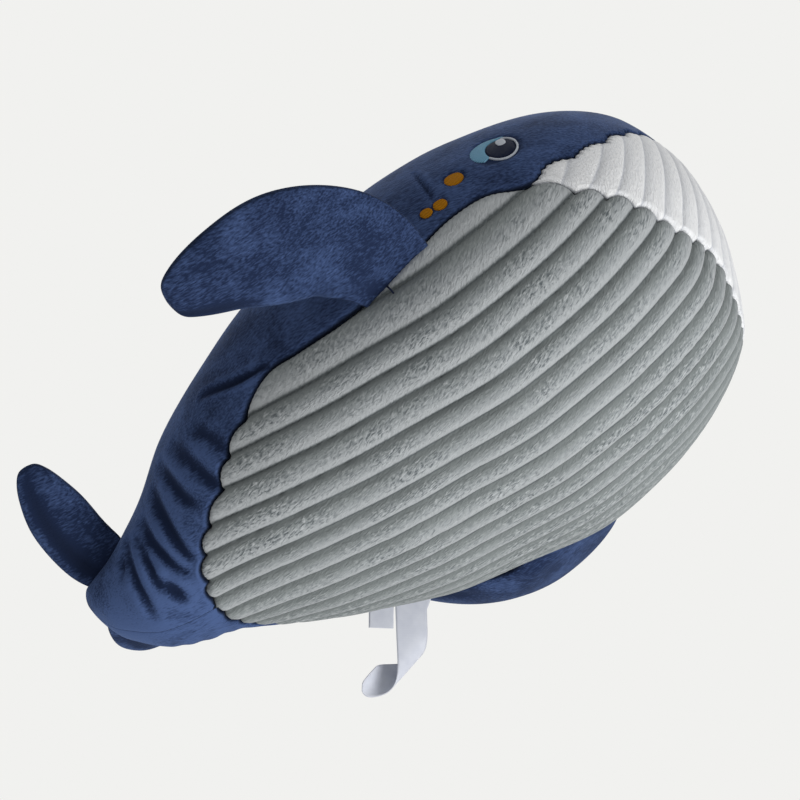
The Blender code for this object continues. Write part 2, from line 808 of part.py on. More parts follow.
def build_label(shop, body, name, along, width, length, thickness):
    """Strip of label cloth sewn into the left flank seam, whose end rolls up about a skew line."""
    half = width / 2 / BODY_LENGTH
    root = Root(flank_place(along - half, -1), flank_place(along + half, -1), -1)
    out = root.level * math.cos(LABEL_DROOP) - root.up * math.sin(LABEL_DROOP)
    run = out * math.cos(LABEL_SWEEP) - root.axis * math.sin(LABEL_SWEEP)
    back = run.cross(root.axis).normalized() * -1.0
    across = run.cross(back)
    start = root.clear_point(thickness)
    roll_out = run * math.cos(LABEL_ROLL_SKEW) + across * math.sin(LABEL_ROLL_SKEW)
    roll_axis = across * math.cos(LABEL_ROLL_SKEW) - run * math.sin(LABEL_ROLL_SKEW)

    def place(a, b, layer):
        shift = run * (a * length - LABEL_ROLL_START) + across * ((b - 0.5) * width)
        if a == 0:
            shift = root.axis * ((b - 0.5) * width) - run * LABEL_ROLL_START
        past = max(shift.dot(roll_out), 0.0)
        turn = past / LABEL_ROLL_RADIUS
        radius = LABEL_ROLL_RADIUS - (layer - 0.5) * thickness
        rolled = roll_out * (radius * math.sin(turn) - past)
        depth = back * (LABEL_ROLL_RADIUS - radius * math.cos(turn))
        return start + run * LABEL_ROLL_START + shift + rolled + depth

    carrier = shop.mount(f"{name}_hinge", start, body)
    bpy.context.view_layer.update()
    mesh = slab_mesh(name, LABEL_ROWS, LABEL_COLUMNS, place)
    shop.piece(name, mesh, (LABEL_WHITE, LABEL_ROUGHNESS), carrier)


def build_stitch(shop, body):
    """Short closing stitch on the belly side of the right flank seam."""
    degrees = math.degrees(flank_place(STITCH_SHARE, 1).y)

    def place(a, b, layer):
        shift = Vector(((a - 0.5) * STITCH_THICKNESS, (b - 1.0) * STITCH_LENGTH - STITCH_THICKNESS))
        return surface_place(STITCH_SHARE, degrees, 1, shift, SEAT_GAP + layer * STITCH_THICKNESS)

    stitch = slab_mesh("closing_stitch", 1, STITCH_ROWS, place)
    shop.piece("closing_stitch", stitch, (NAVY, THREAD_ROUGHNESS), body)


def main():
    """Build the whale piece by piece."""
    clear_scene()
    shop = Workshop()
    body = shop.mount("whale", (0.0, 0.0, 0.0))
    bpy.context.view_layer.update()
    build_panels(shop, body)
    build_body_stuffing(shop, body)
    build_fins(shop, body)
    build_fluke(shop, body)
    for side, name in SIDES:
        build_eye(shop, body, side, name)
        build_dots(shop, body, side, name)
    care = (CARE_LABEL_WIDTH, CARE_LABEL_LENGTH, CARE_LABEL_THICKNESS)
    build_label(shop, body, "care_label", CARE_LABEL_SHARE, *care)
    tag = (SIDE_TAG_WIDTH, SIDE_TAG_LENGTH, SIDE_TAG_THICKNESS)
    build_label(shop, body, "side_tag", SIDE_TAG_SHARE, *tag)
    build_stitch(shop, body)
    bpy.context.view_layer.update()


main()
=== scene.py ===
"""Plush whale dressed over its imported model: ribbed and short-pile plush, filling, embroidery and labels.

Metres, +Z up. The head points to -Y and the whale's left side to +X. A place on the body is a pair
(u, angle): u runs from 0 at the tail end to 1 at the nose tip, and the angle goes round the body from
0 under the belly to 180 degrees along the back, positive on the whale's right side.
"""

import logging
import math
from bisect import bisect_left
from collections.abc import Callable, Sequence
from dataclasses import dataclass, field
from enum import Enum

import bmesh
import bpy
from mathutils import Matrix, Vector, noise
from mathutils.kdtree import KDTree
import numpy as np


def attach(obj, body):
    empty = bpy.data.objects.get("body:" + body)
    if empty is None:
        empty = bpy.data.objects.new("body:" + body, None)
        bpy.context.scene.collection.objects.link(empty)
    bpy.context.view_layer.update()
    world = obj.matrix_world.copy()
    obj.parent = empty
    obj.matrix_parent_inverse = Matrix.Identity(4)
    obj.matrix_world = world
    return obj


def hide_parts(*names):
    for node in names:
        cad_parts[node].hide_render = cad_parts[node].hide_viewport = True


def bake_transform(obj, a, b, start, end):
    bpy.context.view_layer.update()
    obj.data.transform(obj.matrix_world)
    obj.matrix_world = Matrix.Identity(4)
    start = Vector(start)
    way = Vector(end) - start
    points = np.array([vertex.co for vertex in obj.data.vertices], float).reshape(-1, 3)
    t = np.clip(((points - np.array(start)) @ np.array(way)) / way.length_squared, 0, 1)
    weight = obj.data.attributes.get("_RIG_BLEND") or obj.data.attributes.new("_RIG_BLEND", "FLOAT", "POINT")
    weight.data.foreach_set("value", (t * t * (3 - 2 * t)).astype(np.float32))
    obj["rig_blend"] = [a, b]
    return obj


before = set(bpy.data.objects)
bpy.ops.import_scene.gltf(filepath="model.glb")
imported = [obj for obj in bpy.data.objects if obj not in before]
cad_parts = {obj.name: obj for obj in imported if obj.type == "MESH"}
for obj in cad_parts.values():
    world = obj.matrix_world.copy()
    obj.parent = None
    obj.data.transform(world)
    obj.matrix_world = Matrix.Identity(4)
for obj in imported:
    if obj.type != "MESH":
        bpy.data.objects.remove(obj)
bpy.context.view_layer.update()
LOG = logging.getLogger("plush_whale")
MM = 0.001

# What Press.share says of a place well away from it.
FAR_SHARE = 9.0

Table = Sequence[tuple[float, ...]]
Curve = Callable[[float], Vector]
Extent = Callable[[float], tuple[float, float]]
Wave = Callable[[float, Vector, float], float]
Relief = Callable[[Vector, float], float]
Inputs = dict[str | int, object]
# A point of a piece with its attributes, and what finds it at the shares a and b of the way across a grid,
# on the inner (0) or outer (1) layer.
Vertex = tuple[Vector, dict[str, float]]
Place = Callable[[float, float, int], Vertex]


def clamp(value: float) -> float:
    """Nearest value from 0 to 1."""
    return min(max(value, 0.0), 1.0)


def tree_of(points: Sequence[Vector]) -> KDTree:
    """Sort points by where they are, for quick searches.

    Args:
        points: The points.

    Returns:
        The tree, whose indices are those of the points.
    """
    tree = KDTree(len(points))
    for index, point in enumerate(points):
        tree.insert(point, index)
    tree.balance()
    return tree


class Side(Enum):
    """Side of the whale, with the sign of its angles."""

    RIGHT = 1
    LEFT = -1

    @property
    def word(self) -> str:
        """Name of the side as node names spell it."""
        return self.name.lower()


def slopes_of(points: Table) -> list[list[float]]:
    """Work out the slope of each column of a table whose first column is the position.

    Args:
        points: Rows of a position and its values.

    Returns:
        One row of slopes for each row of the table.
    """
    last = len(points) - 1
    slopes = []
    for index in range(last + 1):
        before = points[max(index - 1, 0)]
        after = points[min(index + 1, last)]
        run = after[0] - before[0]
        slopes.append([(high - low) / run for low, high in zip(before[1:], after[1:])])
    return slopes


class SmoothTable:
    """Table read through a smooth curve."""

    def __init__(self, points: Table) -> None:
        """Keep the points.

        Args:
            points: Rows of a position and its values, by rising position.
        """
        self.points = [tuple(point) for point in points]
        self.slopes = slopes_of(self.points)
        self.positions = [point[0] for point in self.points]

    def __call__(self, position: float) -> list[float]:
        """Read the values at a position.

        Args:
            position: Where to read.

        Returns:
            One value for each column after the first.
        """
        index = min(max(bisect_left(self.positions, position) - 1, 0), len(self.points) - 2)
        start, end = self.points[index], self.points[index + 1]
        run = end[0] - start[0]
        t = (position - start[0]) / run
        values = []
        for column in range(1, len(start)):
            rise = self.slopes[index][column - 1] * run
            fall = self.slopes[index + 1][column - 1] * run
            values.append(
                (2 * t**3 - 3 * t**2 + 1) * start[column]
                + (t**3 - 2 * t**2 + t) * rise
                + (3 * t**2 - 2 * t**3) * end[column]
                + (t**3 - t**2) * fall
            )
        return values


def along_to_u(share: float) -> float:
    """Turn a share of the body's length into u."""
    return math.acos(1.0 - 2.0 * clamp(share)) / math.pi


@dataclass
class BodyForm:
    """Stuffed body: oval sections along a line, pitched and laid on the belly."""

    length: float = 0.400
    width: float = 0.228
    height: float = 0.213
    pitch: float = math.radians(15.35)
    rest_share: float = 0.505
    flat_depth: float = 0.0008
    samples: int = 240
    stations: Table = (
        (0.0000, 0.000, -0.010),
        (0.0108, 0.137, -0.048),
        (0.0263, 0.186, -0.072),
        (0.0580, 0.262, -0.105),
        (0.0945, 0.325, -0.108),
        (0.1457, 0.403, -0.096),
        (0.2130, 0.557, -0.088),
        (0.2870, 0.694, -0.098),
        (0.4076, 0.866, -0.117),
        (0.4980, 0.934, -0.132),
        (0.6140, 0.998, -0.155),
        (0.6990, 0.987, -0.159),
        (0.7935, 0.918, -0.162),
        (0.8700, 0.814, -0.155),
        (0.9270, 0.674, -0.147),
        (0.9620, 0.495, -0.114),
        (1.0000, 0.000, -0.066),
    )
    table: SmoothTable = field(init=False)
    laid: Matrix = field(init=False)

    def __post_init__(self) -> None:
        """Read the stations and lay the body down."""
        self.table = SmoothTable([(along_to_u(along), girth, rise) for along, girth, rise in self.stations])
        pitch = Matrix.Rotation(-self.pitch, 4, "X")
        steps = range(1, self.samples)
        lowest = min((pitch @ self.raw(step / self.samples, 0.0)).z for step in steps)
        rest = pitch @ self.raw(along_to_u(self.rest_share), 0.0)
        self.laid = Matrix.Translation((0.0, -rest.y, -lowest - self.flat_depth)) @ pitch

    def raw(self, u: float, angle: float) -> Vector:
        """Find a point of the surface before it is laid down.

        Args:
            u: Place along the body.
            angle: Place round the body.

        Returns:
            The point.
        """
        girth, rise = self.table(u)
        along = (1.0 - math.cos(math.pi * u)) / 2.0
        across = -girth * self.width / 2 * math.sin(angle)
        up = rise * self.height - girth * self.height / 2 * math.cos(angle)
        return Vector((across, -along * self.length, up))

    def half_width(self, u: float) -> float:
        """Half width of the section at u."""
        return self.table(u)[0] * self.width / 2

    def stance(self, u: float, angle: float) -> tuple[Vector, Vector]:
        """Find a point of the surface and the direction out of it, in the world.

        Args:
            u: Place along the body.
            angle: Place round the body.

        Returns:
            The point and the unit normal.
        """
        step = 1.0 / self.samples**2
        u = min(max(u, step), 1.0 - step)
        along = self.raw(u + step, angle) - self.raw(u - step, angle)
        around = Vector((-self.width * math.cos(angle), 0.0, self.height * math.sin(angle)))
        normal = along.cross(around).normalized()
        return self.laid @ self.raw(u, angle), self.laid.to_3x3() @ normal

    def point(self, u: float, angle: float, lift: float = 0.0) -> Vector:
        """Find a point at a height above the surface.

        Args:
            u: Place along the body.
            angle: Place round the body.
            lift: Height above the surface.

        Returns:
            The point in the world.
        """
        base, normal = self.stance(u, angle)
        return base + normal * lift

    def shifted(self, place: Vector, shift: Vector, lift: float) -> Vector:
        """Find a point near a place: shift is the way forward and up along the surface.

        Args:
            place: Place on the body.
            shift: Way forward and up, in metres.
            lift: Height above the surface.

        Returns:
            The point in the world.
        """
        side = 1.0 if place.y >= 0 else -1.0
        pace, girth = self.paces(place)
        return self.point(place.x + shift.x / pace, place.y + side * shift.y / girth, lift)

    def paces(self, place: Vector) -> tuple[float, float]:
        """Measure the surface at a place.

        Args:
            place: Place on the body.

        Returns:
            Metres of surface for each unit of u, and for each radian.
        """
        u, angle = place
        step = 1.0 / self.samples
        pace = (self.point(u + step, angle) - self.point(u - step, angle)).length / (2 * step)
        girth = (self.point(u, angle + step) - self.point(u, angle - step)).length / (2 * step)
        return pace, girth


def to_face_plane(place: Vector) -> Vector:
    """Lay (u, angle) out as seen from the nose."""
    reach = 1.0 - place[0]
    return Vector((reach * math.sin(place[1]), -reach * math.cos(place[1])))


def from_face_plane(point: Vector) -> Vector:
    """Turn a point of the nose plane back into (u, angle)."""
    return Vector((1.0 - point.length, math.atan2(point.x, -point.y)))


def mirrored(place: Vector) -> Vector:
    """The same place on the other side."""
    return Vector((place.x, -place.y))


def straight(start: Vector, end: Vector) -> Curve:
    """Straight way from one place to another."""
    return lambda t: start.lerp(end, t)


class Seam:
    """Seam on the whale's right side, read at an even pace by t from 0 to 1."""

    def __init__(
        self, form: BodyForm, shares: Table, in_face_plane: bool = False, turn_pace: float = 0.0
    ) -> None:
        """Trace the seam.

        Args:
            form: Body that carries the seam.
            shares: Places, as a share of the length and degrees round.
            in_face_plane: Whether the seam is smooth across the nose tip.
            turn_pace: Metres of seam that each radian round the body counts as.
        """
        places = [Vector((along_to_u(along), math.radians(degrees))) for along, degrees in shares]
        if in_face_plane:
            places = [to_face_plane(place) for place in places]
        table = SmoothTable([(index, place.x, place.y) for index, place in enumerate(places)])
        span = len(places) - 1
        samples = [Vector(table(span * step / form.samples)) for step in range(form.samples + 1)]
        if in_face_plane:
            samples = [from_face_plane(sample) for sample in samples]
            samples = [Vector((sample.x, abs(sample.y))) for sample in samples]
        self.samples = samples
        self.lengths = [0.0]
        for before, after in zip(samples, samples[1:]):
            run = (form.raw(*after) - form.raw(*before)).length
            self.lengths.append(self.lengths[-1] + run + abs(after.y - before.y) * turn_pace)

    def __call__(self, t: float) -> Vector:
        """Find a place on the seam.

        Args:
            t: Share of the way along it.

        Returns:
            The place.
        """
        target = clamp(t) * self.lengths[-1]
        index = min(max(bisect_left(self.lengths, target) - 1, 0), len(self.samples) - 2)
        part = (target - self.lengths[index]) / (self.lengths[index + 1] - self.lengths[index])
        return self.samples[index].lerp(self.samples[index + 1], part)


def fill_patch(low: Curve, high: Curve, rear: Curve, front: Curve, a: float, b: float) -> Vector:
    """Blend four seams into a surface.

    Args:
        low: Seam at b = 0.
        high: Seam at b = 1.
        rear: Seam at a = 0.
        front: Seam at a = 1.
        a: Share of the way from rear to front.
        b: Share of the way from low to high.

    Returns:
        The place on the body.
    """
    sides = low(a) * (1 - b) + high(a) * b
    ends = rear(b) * (1 - a) + front(b) * a
    corners = (low(0.0) * (1 - b) + high(0.0) * b) * (1 - a) + (low(1.0) * (1 - b) + high(1.0) * b) * a
    return sides + ends - corners


@dataclass
class Pattern:
    """Cutting pattern of the body: its seams and the panels between them."""

    form: BodyForm
    corner_share: float = 0.4
    tail_share: float = 4 / 24
    tail_hole: float = 0.00003
    brow_turn_pace: float = 0.070
    rib_centre: float = math.radians(18.0)
    rib_station: float = 0.5587
    muzzle_rib_start: float = 0.934
    muzzle_rib_pitch: float = 0.0595
    flank_shares: Table = (
        (0.1370, 0.0),
        (0.1410, 16.0),
        (0.1600, 36.0),
        (0.1900, 49.0),
        (0.2320, 58.0),
        (0.2650, 67.0),
        (0.3040, 73.0),
        (0.3420, 76.5),
        (0.3920, 80.0),
        (0.4300, 77.8),
        (0.4980, 76.5),
        (0.5700, 75.7),
        (0.6410, 78.0),
        (0.7020, 81.4),
        (0.7540, 82.4),
        (0.7900, 80.4),
        (0.8200, 78.9),
    )
    mouth_shares: Table = (
        (0.9595, 0.0),
        (0.9510, 20.0),
        (0.9390, 33.0),
        (0.9270, 44.5),
        (0.9090, 55.5),
        (0.8830, 63.5),
        (0.8550, 70.5),
        (0.8200, 78.9),
    )
    brow_shares: Table = (
        (0.8200, 78.9),
        (0.8560, 82.0),
        (0.8900, 83.2),
        (0.9230, 86.5),
        (0.9500, 91.5),
        (0.9760, 105.0),
        (0.9900, 130.0),
        (0.9950, 180.0),
    )
    groove_degrees: Table = (
        (-120.0, 27.0),
        (-86.6, 22.0),
        (-53.1, 17.0),
        (-19.6, 12.0),
        (-13.0, 11.0),
        (-6.3, 10.0),
        (-0.5, 9.0),
        (6.6, 8.0),
        (13.3, 7.0),
        (19.4, 6.0),
        (27.0, 5.0),
        (34.4, 4.0),
        (43.0, 3.0),
        (52.0, 2.0),
        (61.0, 1.0),
        (74.0, 0.0),
        (88.0, -1.0),
        (120.0, -3.2),
    )

    def __post_init__(self) -> None:
        """Trace the seams."""
        self.flank = Seam(self.form, self.flank_shares)
        self.mouth = Seam(self.form, self.mouth_shares, in_face_plane=True)
        self.brow = Seam(self.form, self.brow_shares, in_face_plane=True, turn_pace=self.brow_turn_pace)
        self.flank_degrees = SmoothTable(self.flank_shares)
        self.grooves = SmoothTable(self.groove_degrees)
        self.rib_radius = self.form.half_width(along_to_u(self.rib_station))

    def flank_place(self, along: float, side: Side) -> Vector:
        """Place on the flank seam at a share of the length."""
        return self.side_place(along, self.flank_degrees(along)[0], side)

    def side_place(self, along: float, degrees: float, side: Side) -> Vector:
        """Place at a share of the length and degrees round, on one side."""
        return Vector((along_to_u(along), side.value * math.radians(degrees)))

    def belly(self, a: float, b: float) -> Vector:
        """Find a place on the belly panel.

        Args:
            a: Share of the way forward.
            b: Share of the way from left to right.

        Returns:
            The place.
        """
        side = 2.0 * b - 1.0

        def right(t: float) -> Vector:
            """Right edge."""
            return self.flank(self.corner_share + t * (1.0 - self.corner_share))

        def left(t: float) -> Vector:
            """Left edge."""
            return mirrored(right(t))

        def end(seam: Curve, reach: float) -> Curve:
            """Edge across the body, from left to right."""
            return lambda _: seam(reach) if side >= 0 else mirrored(seam(reach))

        rear = end(self.flank, self.corner_share * abs(side))
        front = end(self.mouth, abs(side))
        return fill_patch(left, right, rear, front, a, b)

    def back(self, a: float, b: float) -> Vector:
        """Find a place on the right back panel.

        Args:
            a: Share of the way forward.
            b: Share of the way up to the seam along the back.

        Returns:
            The place.
        """
        tail = along_to_u(self.tail_hole)
        belly_start = self.flank(0.0)
        snout = self.brow(1.0)

        def low(t: float) -> Vector:
            """Lower edge: the seam under the tail, then the flank seam."""
            if t < self.tail_share:
                return Vector((tail, 0.0)).lerp(belly_start, t / self.tail_share)
            return self.flank((t - self.tail_share) / (1.0 - self.tail_share))

        def high(t: float) -> Vector:
            """Upper edge, along the back."""
            return Vector((tail, math.pi)).lerp(snout, t)

        return fill_patch(low, high, lambda t: Vector((tail, math.pi * t)), self.brow, a, b)

    def muzzle(self, a: float, b: float) -> Vector:
        """Find a place on the muzzle panel.

        Args:
            a: Share of the way from the left mouth corner to the right one.
            b: Share of the way from the mouth line to the brow seam.

        Returns:
            The place.
        """
        side = 2.0 * a - 1.0

        def across(seam: Seam, t: float) -> Vector:
            """Point of the nose plane on a seam, on the side that a is on."""
            return to_face_plane(seam(t) if side >= 0 else mirrored(seam(t)))

        low = across(self.mouth, abs(side))
        high = across(self.brow, 1.0 - abs(side))
        return from_face_plane(low.lerp(high, b))

    def belly_rib(self, place: Vector) -> float:
        """Count of ribs across to a place on the belly, whole numbers in the grooves."""
        swing = (place.y - self.rib_centre) * self.form.half_width(place.x) / self.rib_radius
        return self.grooves(math.degrees(self.rib_centre + swing))[0]

    def muzzle_rib(self, a: float) -> float:
        """Count of ribs across the muzzle panel at a."""
        return (self.muzzle_rib_start - a) / self.muzzle_rib_pitch


def rib_height(rib: float, squareness: float = 2.1) -> float:
    """Share of its height that a rib has at a count of ribs across, none in the grooves."""
    across = abs(2.0 * (rib % 1.0) - 1.0)
    return (1.0 - across**squareness) ** (1.0 / squareness)


def rib_end(rib: float) -> float:
    """Share of its height that the rounded end of a rib has, at a count of ribs across."""
    return 1.0 - (2.0 * (rib % 1.0) - 1.0) ** 2


def tufted(travelled: float, pitch: float, roundness: float = 0.7) -> float:
    """Share of its height that a row of round tufts has, with sharp notches between them."""
    return abs(math.sin(math.pi * travelled / pitch)) ** roundness


@dataclass
class SeamPoint:
    """Point of a seam, the way that the seam scallops there, and how deep the cloth rolls into it."""

    point: Vector
    aside: Vector
    depth: float


@dataclass
class SeamField:
    """How far each point of the body is from a seam, and which way the seam scallops there."""

    pattern: Pattern
    steps: int = 900
    fluff_pitch: float = 3.4 * MM
    tuft_pitch: float = 4.4 * MM
    hidden_depth: float = 0.06
    shallow_depth: float = 0.6
    fade_rate: float = 20.0
    flank_scallop: float = 1.0
    flank_fluff: float = 0.22
    mouth_scallop: float = 1.2
    mouth_fluff: float = 0.10
    brow_scallop: float = 1.3
    brow_fluff: float = 0.85

    def __post_init__(self) -> None:
        """Gather points along all the seams."""
        pattern = self.pattern
        tail = along_to_u(pattern.tail_hole)
        snout = pattern.brow(1.0)
        self.found: list[SeamPoint] = []
        up = Vector((0.0, 0.3, 1.0))
        forward = Vector((0.0, -1.0, 0.5))

        def flank_wave(_: float, place: Vector, travelled: float) -> float:
            """Rounded rib ends with a little fluff."""
            fluff = self.flank_fluff * (tufted(travelled, self.fluff_pitch) - 0.5)
            return self.flank_scallop * (rib_end(pattern.belly_rib(place)) - 0.5) + fluff

        def mouth_wave(_: float, place: Vector, travelled: float) -> float:
            """Rounded rib ends."""
            fluff = self.mouth_fluff * tufted(travelled, self.fluff_pitch)
            return self.mouth_scallop * (rib_end(pattern.belly_rib(place)) - 0.5) + fluff

        def brow_wave(t: float, _: Vector, travelled: float) -> float:
            """Fluffy rounded tufts on the ends of the pale ribs."""
            rib = rib_end(pattern.muzzle_rib(1.0 - t / 2))
            fluff = self.brow_fluff * (tufted(travelled, self.tuft_pitch) - 0.5)
            return self.brow_scallop * (rib - 0.5) + fluff

        for side in Side:
            self.add(pattern.flank, side, up, flank_wave)
            self.add(pattern.mouth, side, forward, mouth_wave, self.shallow_depth)
            self.add(pattern.brow, side, up, brow_wave)
        under_tail = straight(Vector((tail, 0.0)), pattern.flank(0.0))
        self.add(straight(Vector((tail, math.pi)), snout), Side.RIGHT, None, None, self.shallow_depth)
        self.add(under_tail, Side.RIGHT, None, None, self.hidden_depth)
        self.tree = tree_of([seam.point for seam in self.found])

    def add(
        self, curve: Curve, side: Side, toward: Vector | None, wave: Wave | None, depth: float = 1.0
    ) -> None:
        """Add the points of one seam.

        Args:
            curve: Place on the right side at t.
            side: Side of the body.
            toward: Rough direction that the scallops point in, or None where the seam runs straight.
            wave: Height of the scallops at t, a place and a way travelled, or None where it runs straight.
            depth: Share of the full depth that the cloth rolls into it.
        """
        form = self.pattern.form

        def place_at(t: float) -> Vector:
            """Place on this side at t."""
            return curve(t) if side is Side.RIGHT else mirrored(curve(t))

        before = form.point(*place_at(0.0))
        travelled = 0.0
        for step in range(self.steps + 1):
            t = step / self.steps
            place = place_at(t)
            point, normal = form.stance(*place)
            travelled += (point - before).length
            run = form.point(*place_at(min(t + 1 / self.steps, 1.0))) - before
            before = point
            if wave is None or run.length == 0:
                self.found.append(SeamPoint(point, Vector((0.0, 0.0, 0.0)), depth))
                continue
            aside = normal.cross(run).normalized()
            if aside.dot(toward) < 0:
                aside = -aside
            fade = min(min(step, self.steps - step) / self.steps * self.fade_rate, 1.0)
            self.found.append(SeamPoint(point, aside * (wave(t, place, travelled) * fade), depth))

    def nearest(self, point: Vector) -> tuple[float, SeamPoint]:
        """Find the distance to the nearest seam, and its point.

        Args:
            point: Point of the body's surface.

        Returns:
            The distance and the point of the seam.
        """
        _, index, distance = self.tree.find(point)
        return distance, self.found[index]


@dataclass(frozen=True)
class Crease:
    """Fold pressed into the smooth plush along a line of places."""

    places: Table
    depth: float
    width: float


@dataclass
class Creases:
    """All the folds of one back panel."""

    form: BodyForm
    side: Side
    creases: Sequence[Crease]
    strength: float = 1.0
    reach: float = 12 * MM
    steps: int = 60
    end_start: float = 0.06
    end_span: float = 0.88
    end_roundness: float = 0.6
    bank_share: float = 0.35
    bank_place: float = 1.9

    def __post_init__(self) -> None:
        """Gather points along the folds."""
        self.found: list[tuple[Vector, int, float]] = []
        for index, crease in enumerate(self.creases):
            table = SmoothTable([(k, *place) for k, place in enumerate(crease.places)])
            span = len(crease.places) - 1
            for step in range(self.steps + 1):
                along, degrees = table(span * step / self.steps)
                place = (along_to_u(along), self.side.value * math.radians(degrees))
                turn = math.pi * (self.end_start + self.end_span * step / self.steps)
                self.found.append((self.form.point(*place), index, math.sin(turn) ** self.end_roundness))
        self.tree = tree_of([point for point, _, _ in self.found])

    def lift(self, point: Vector) -> float:
        """Find how the folds shape the surface: each is a valley between two low banks.

        Args:
            point: Point of the body's surface.

        Returns:
            The height above the surface, below zero in a valley.
        """
        deepest: dict[int, tuple[float, float]] = {}
        for _, index, distance in self.tree.find_range(point, self.reach):
            _, crease, ends = self.found[index]
            if crease not in deepest or distance < deepest[crease][0]:
                deepest[crease] = (distance, ends)
        total = 0.0
        for crease, (distance, ends) in deepest.items():
            fold = self.creases[crease]
            share = distance / fold.width
            dip = math.exp(-share * share) - self.bank_share * math.exp(-((share - self.bank_place) ** 2))
            total -= self.strength * fold.depth * ends * dip
        return total


@dataclass(frozen=True)
class Press:
    """Oval that the stitches of the embroidery press into the plush."""

    place: Vector
    halves: tuple[float, float]
    shift: Vector = field(default_factory=lambda: Vector((0.0, 0.0)))
    window: tuple[float, float] = (0.08, 0.5)

    def share(self, form: BodyForm, place: Vector) -> float:
        """How far a place is from the middle of the oval, as a share of the way to its edge.

        Args:
            form: Body that carries it.
            place: Place on the body.

        Returns:
            Zero in the middle, 1 on the edge, and FAR_SHARE well away from it.
        """
        ahead_reach, turn_reach = self.window
        if abs(place.x - self.place.x) > ahead_reach or abs(place.y - self.place.y) > turn_reach:
            return FAR_SHARE
        pace, girth = form.paces(self.place)
        side = 1.0 if self.place.y >= 0 else -1.0
        ahead = (place.x - self.place.x) * pace - self.shift.x
        above = (place.y - self.place.y) * girth * side - self.shift.y
        return math.hypot(ahead / self.halves[0], above / self.halves[1])


def linear(colour: str) -> tuple[float, float, float, float]:
    """Turn an sRGB hex colour into linear RGBA.

    Args:
        colour: Six hex digits after a hash sign.

    Returns:
        The linear colour with full alpha.
    """
    levels = [int(colour[start : start + 2], 16) / 255 for start in (1, 3, 5)]
    red, green, blue = (v / 12.92 if v <= 0.04045 else ((v + 0.055) / 1.055) ** 2.4 for v in levels)
    return red, green, blue, 1.0


def feed(tree: bpy.types.NodeTree, node: bpy.types.Node, inputs: Inputs) -> None:
    """Set or link the inputs of a node.

    Args:
        tree: Node tree that holds the node.
        node: The node.
        inputs: For each input, its value or the output that feeds it.
    """
    for name, value in inputs.items():
        if isinstance(value, bpy.types.NodeSocket):
            tree.links.new(value, node.inputs[name])
        else:
            node.inputs[name].default_value = value


def add(
    tree: bpy.types.NodeTree,
    kind: str,
    inputs: Inputs | None = None,
    output: str | int = 0,
    **settings: object,
) -> bpy.types.NodeSocket:
    """Add a node with its settings and links.

    Args:
        tree: Node tree that gets the node.
        kind: Kind of node, as its type is spelled after ShaderNode.
        inputs: For each input, its value or the output that feeds it.
        output: Output to hand back.
        settings: Values of the node's properties.

    Returns:
        The output.
    """
    node = tree.nodes.new(f"ShaderNode{kind}")
    for name, value in settings.items():
        setattr(node, name, value)
    feed(tree, node, inputs or {})
    return node.outputs[output]


class Finish:
    """Look of a real material: how it is called, and what feeds its shader."""

    name: str

    def shader_inputs(self, tree: bpy.types.NodeTree) -> Inputs:
        """Inputs of the shader, with the nodes that feed them added to the tree."""
        raise NotImplementedError

    def material(self) -> bpy.types.Material:
        """Find the material, or build it for the first piece that has it.

        Returns:
            The material.
        """
        material = bpy.data.materials.get(self.name)
        if material is None:
            material = bpy.data.materials.new(self.name)
            material.use_nodes = True
            tree = material.node_tree
            feed(tree, tree.nodes["Principled BSDF"], self.shader_inputs(tree))
        return material


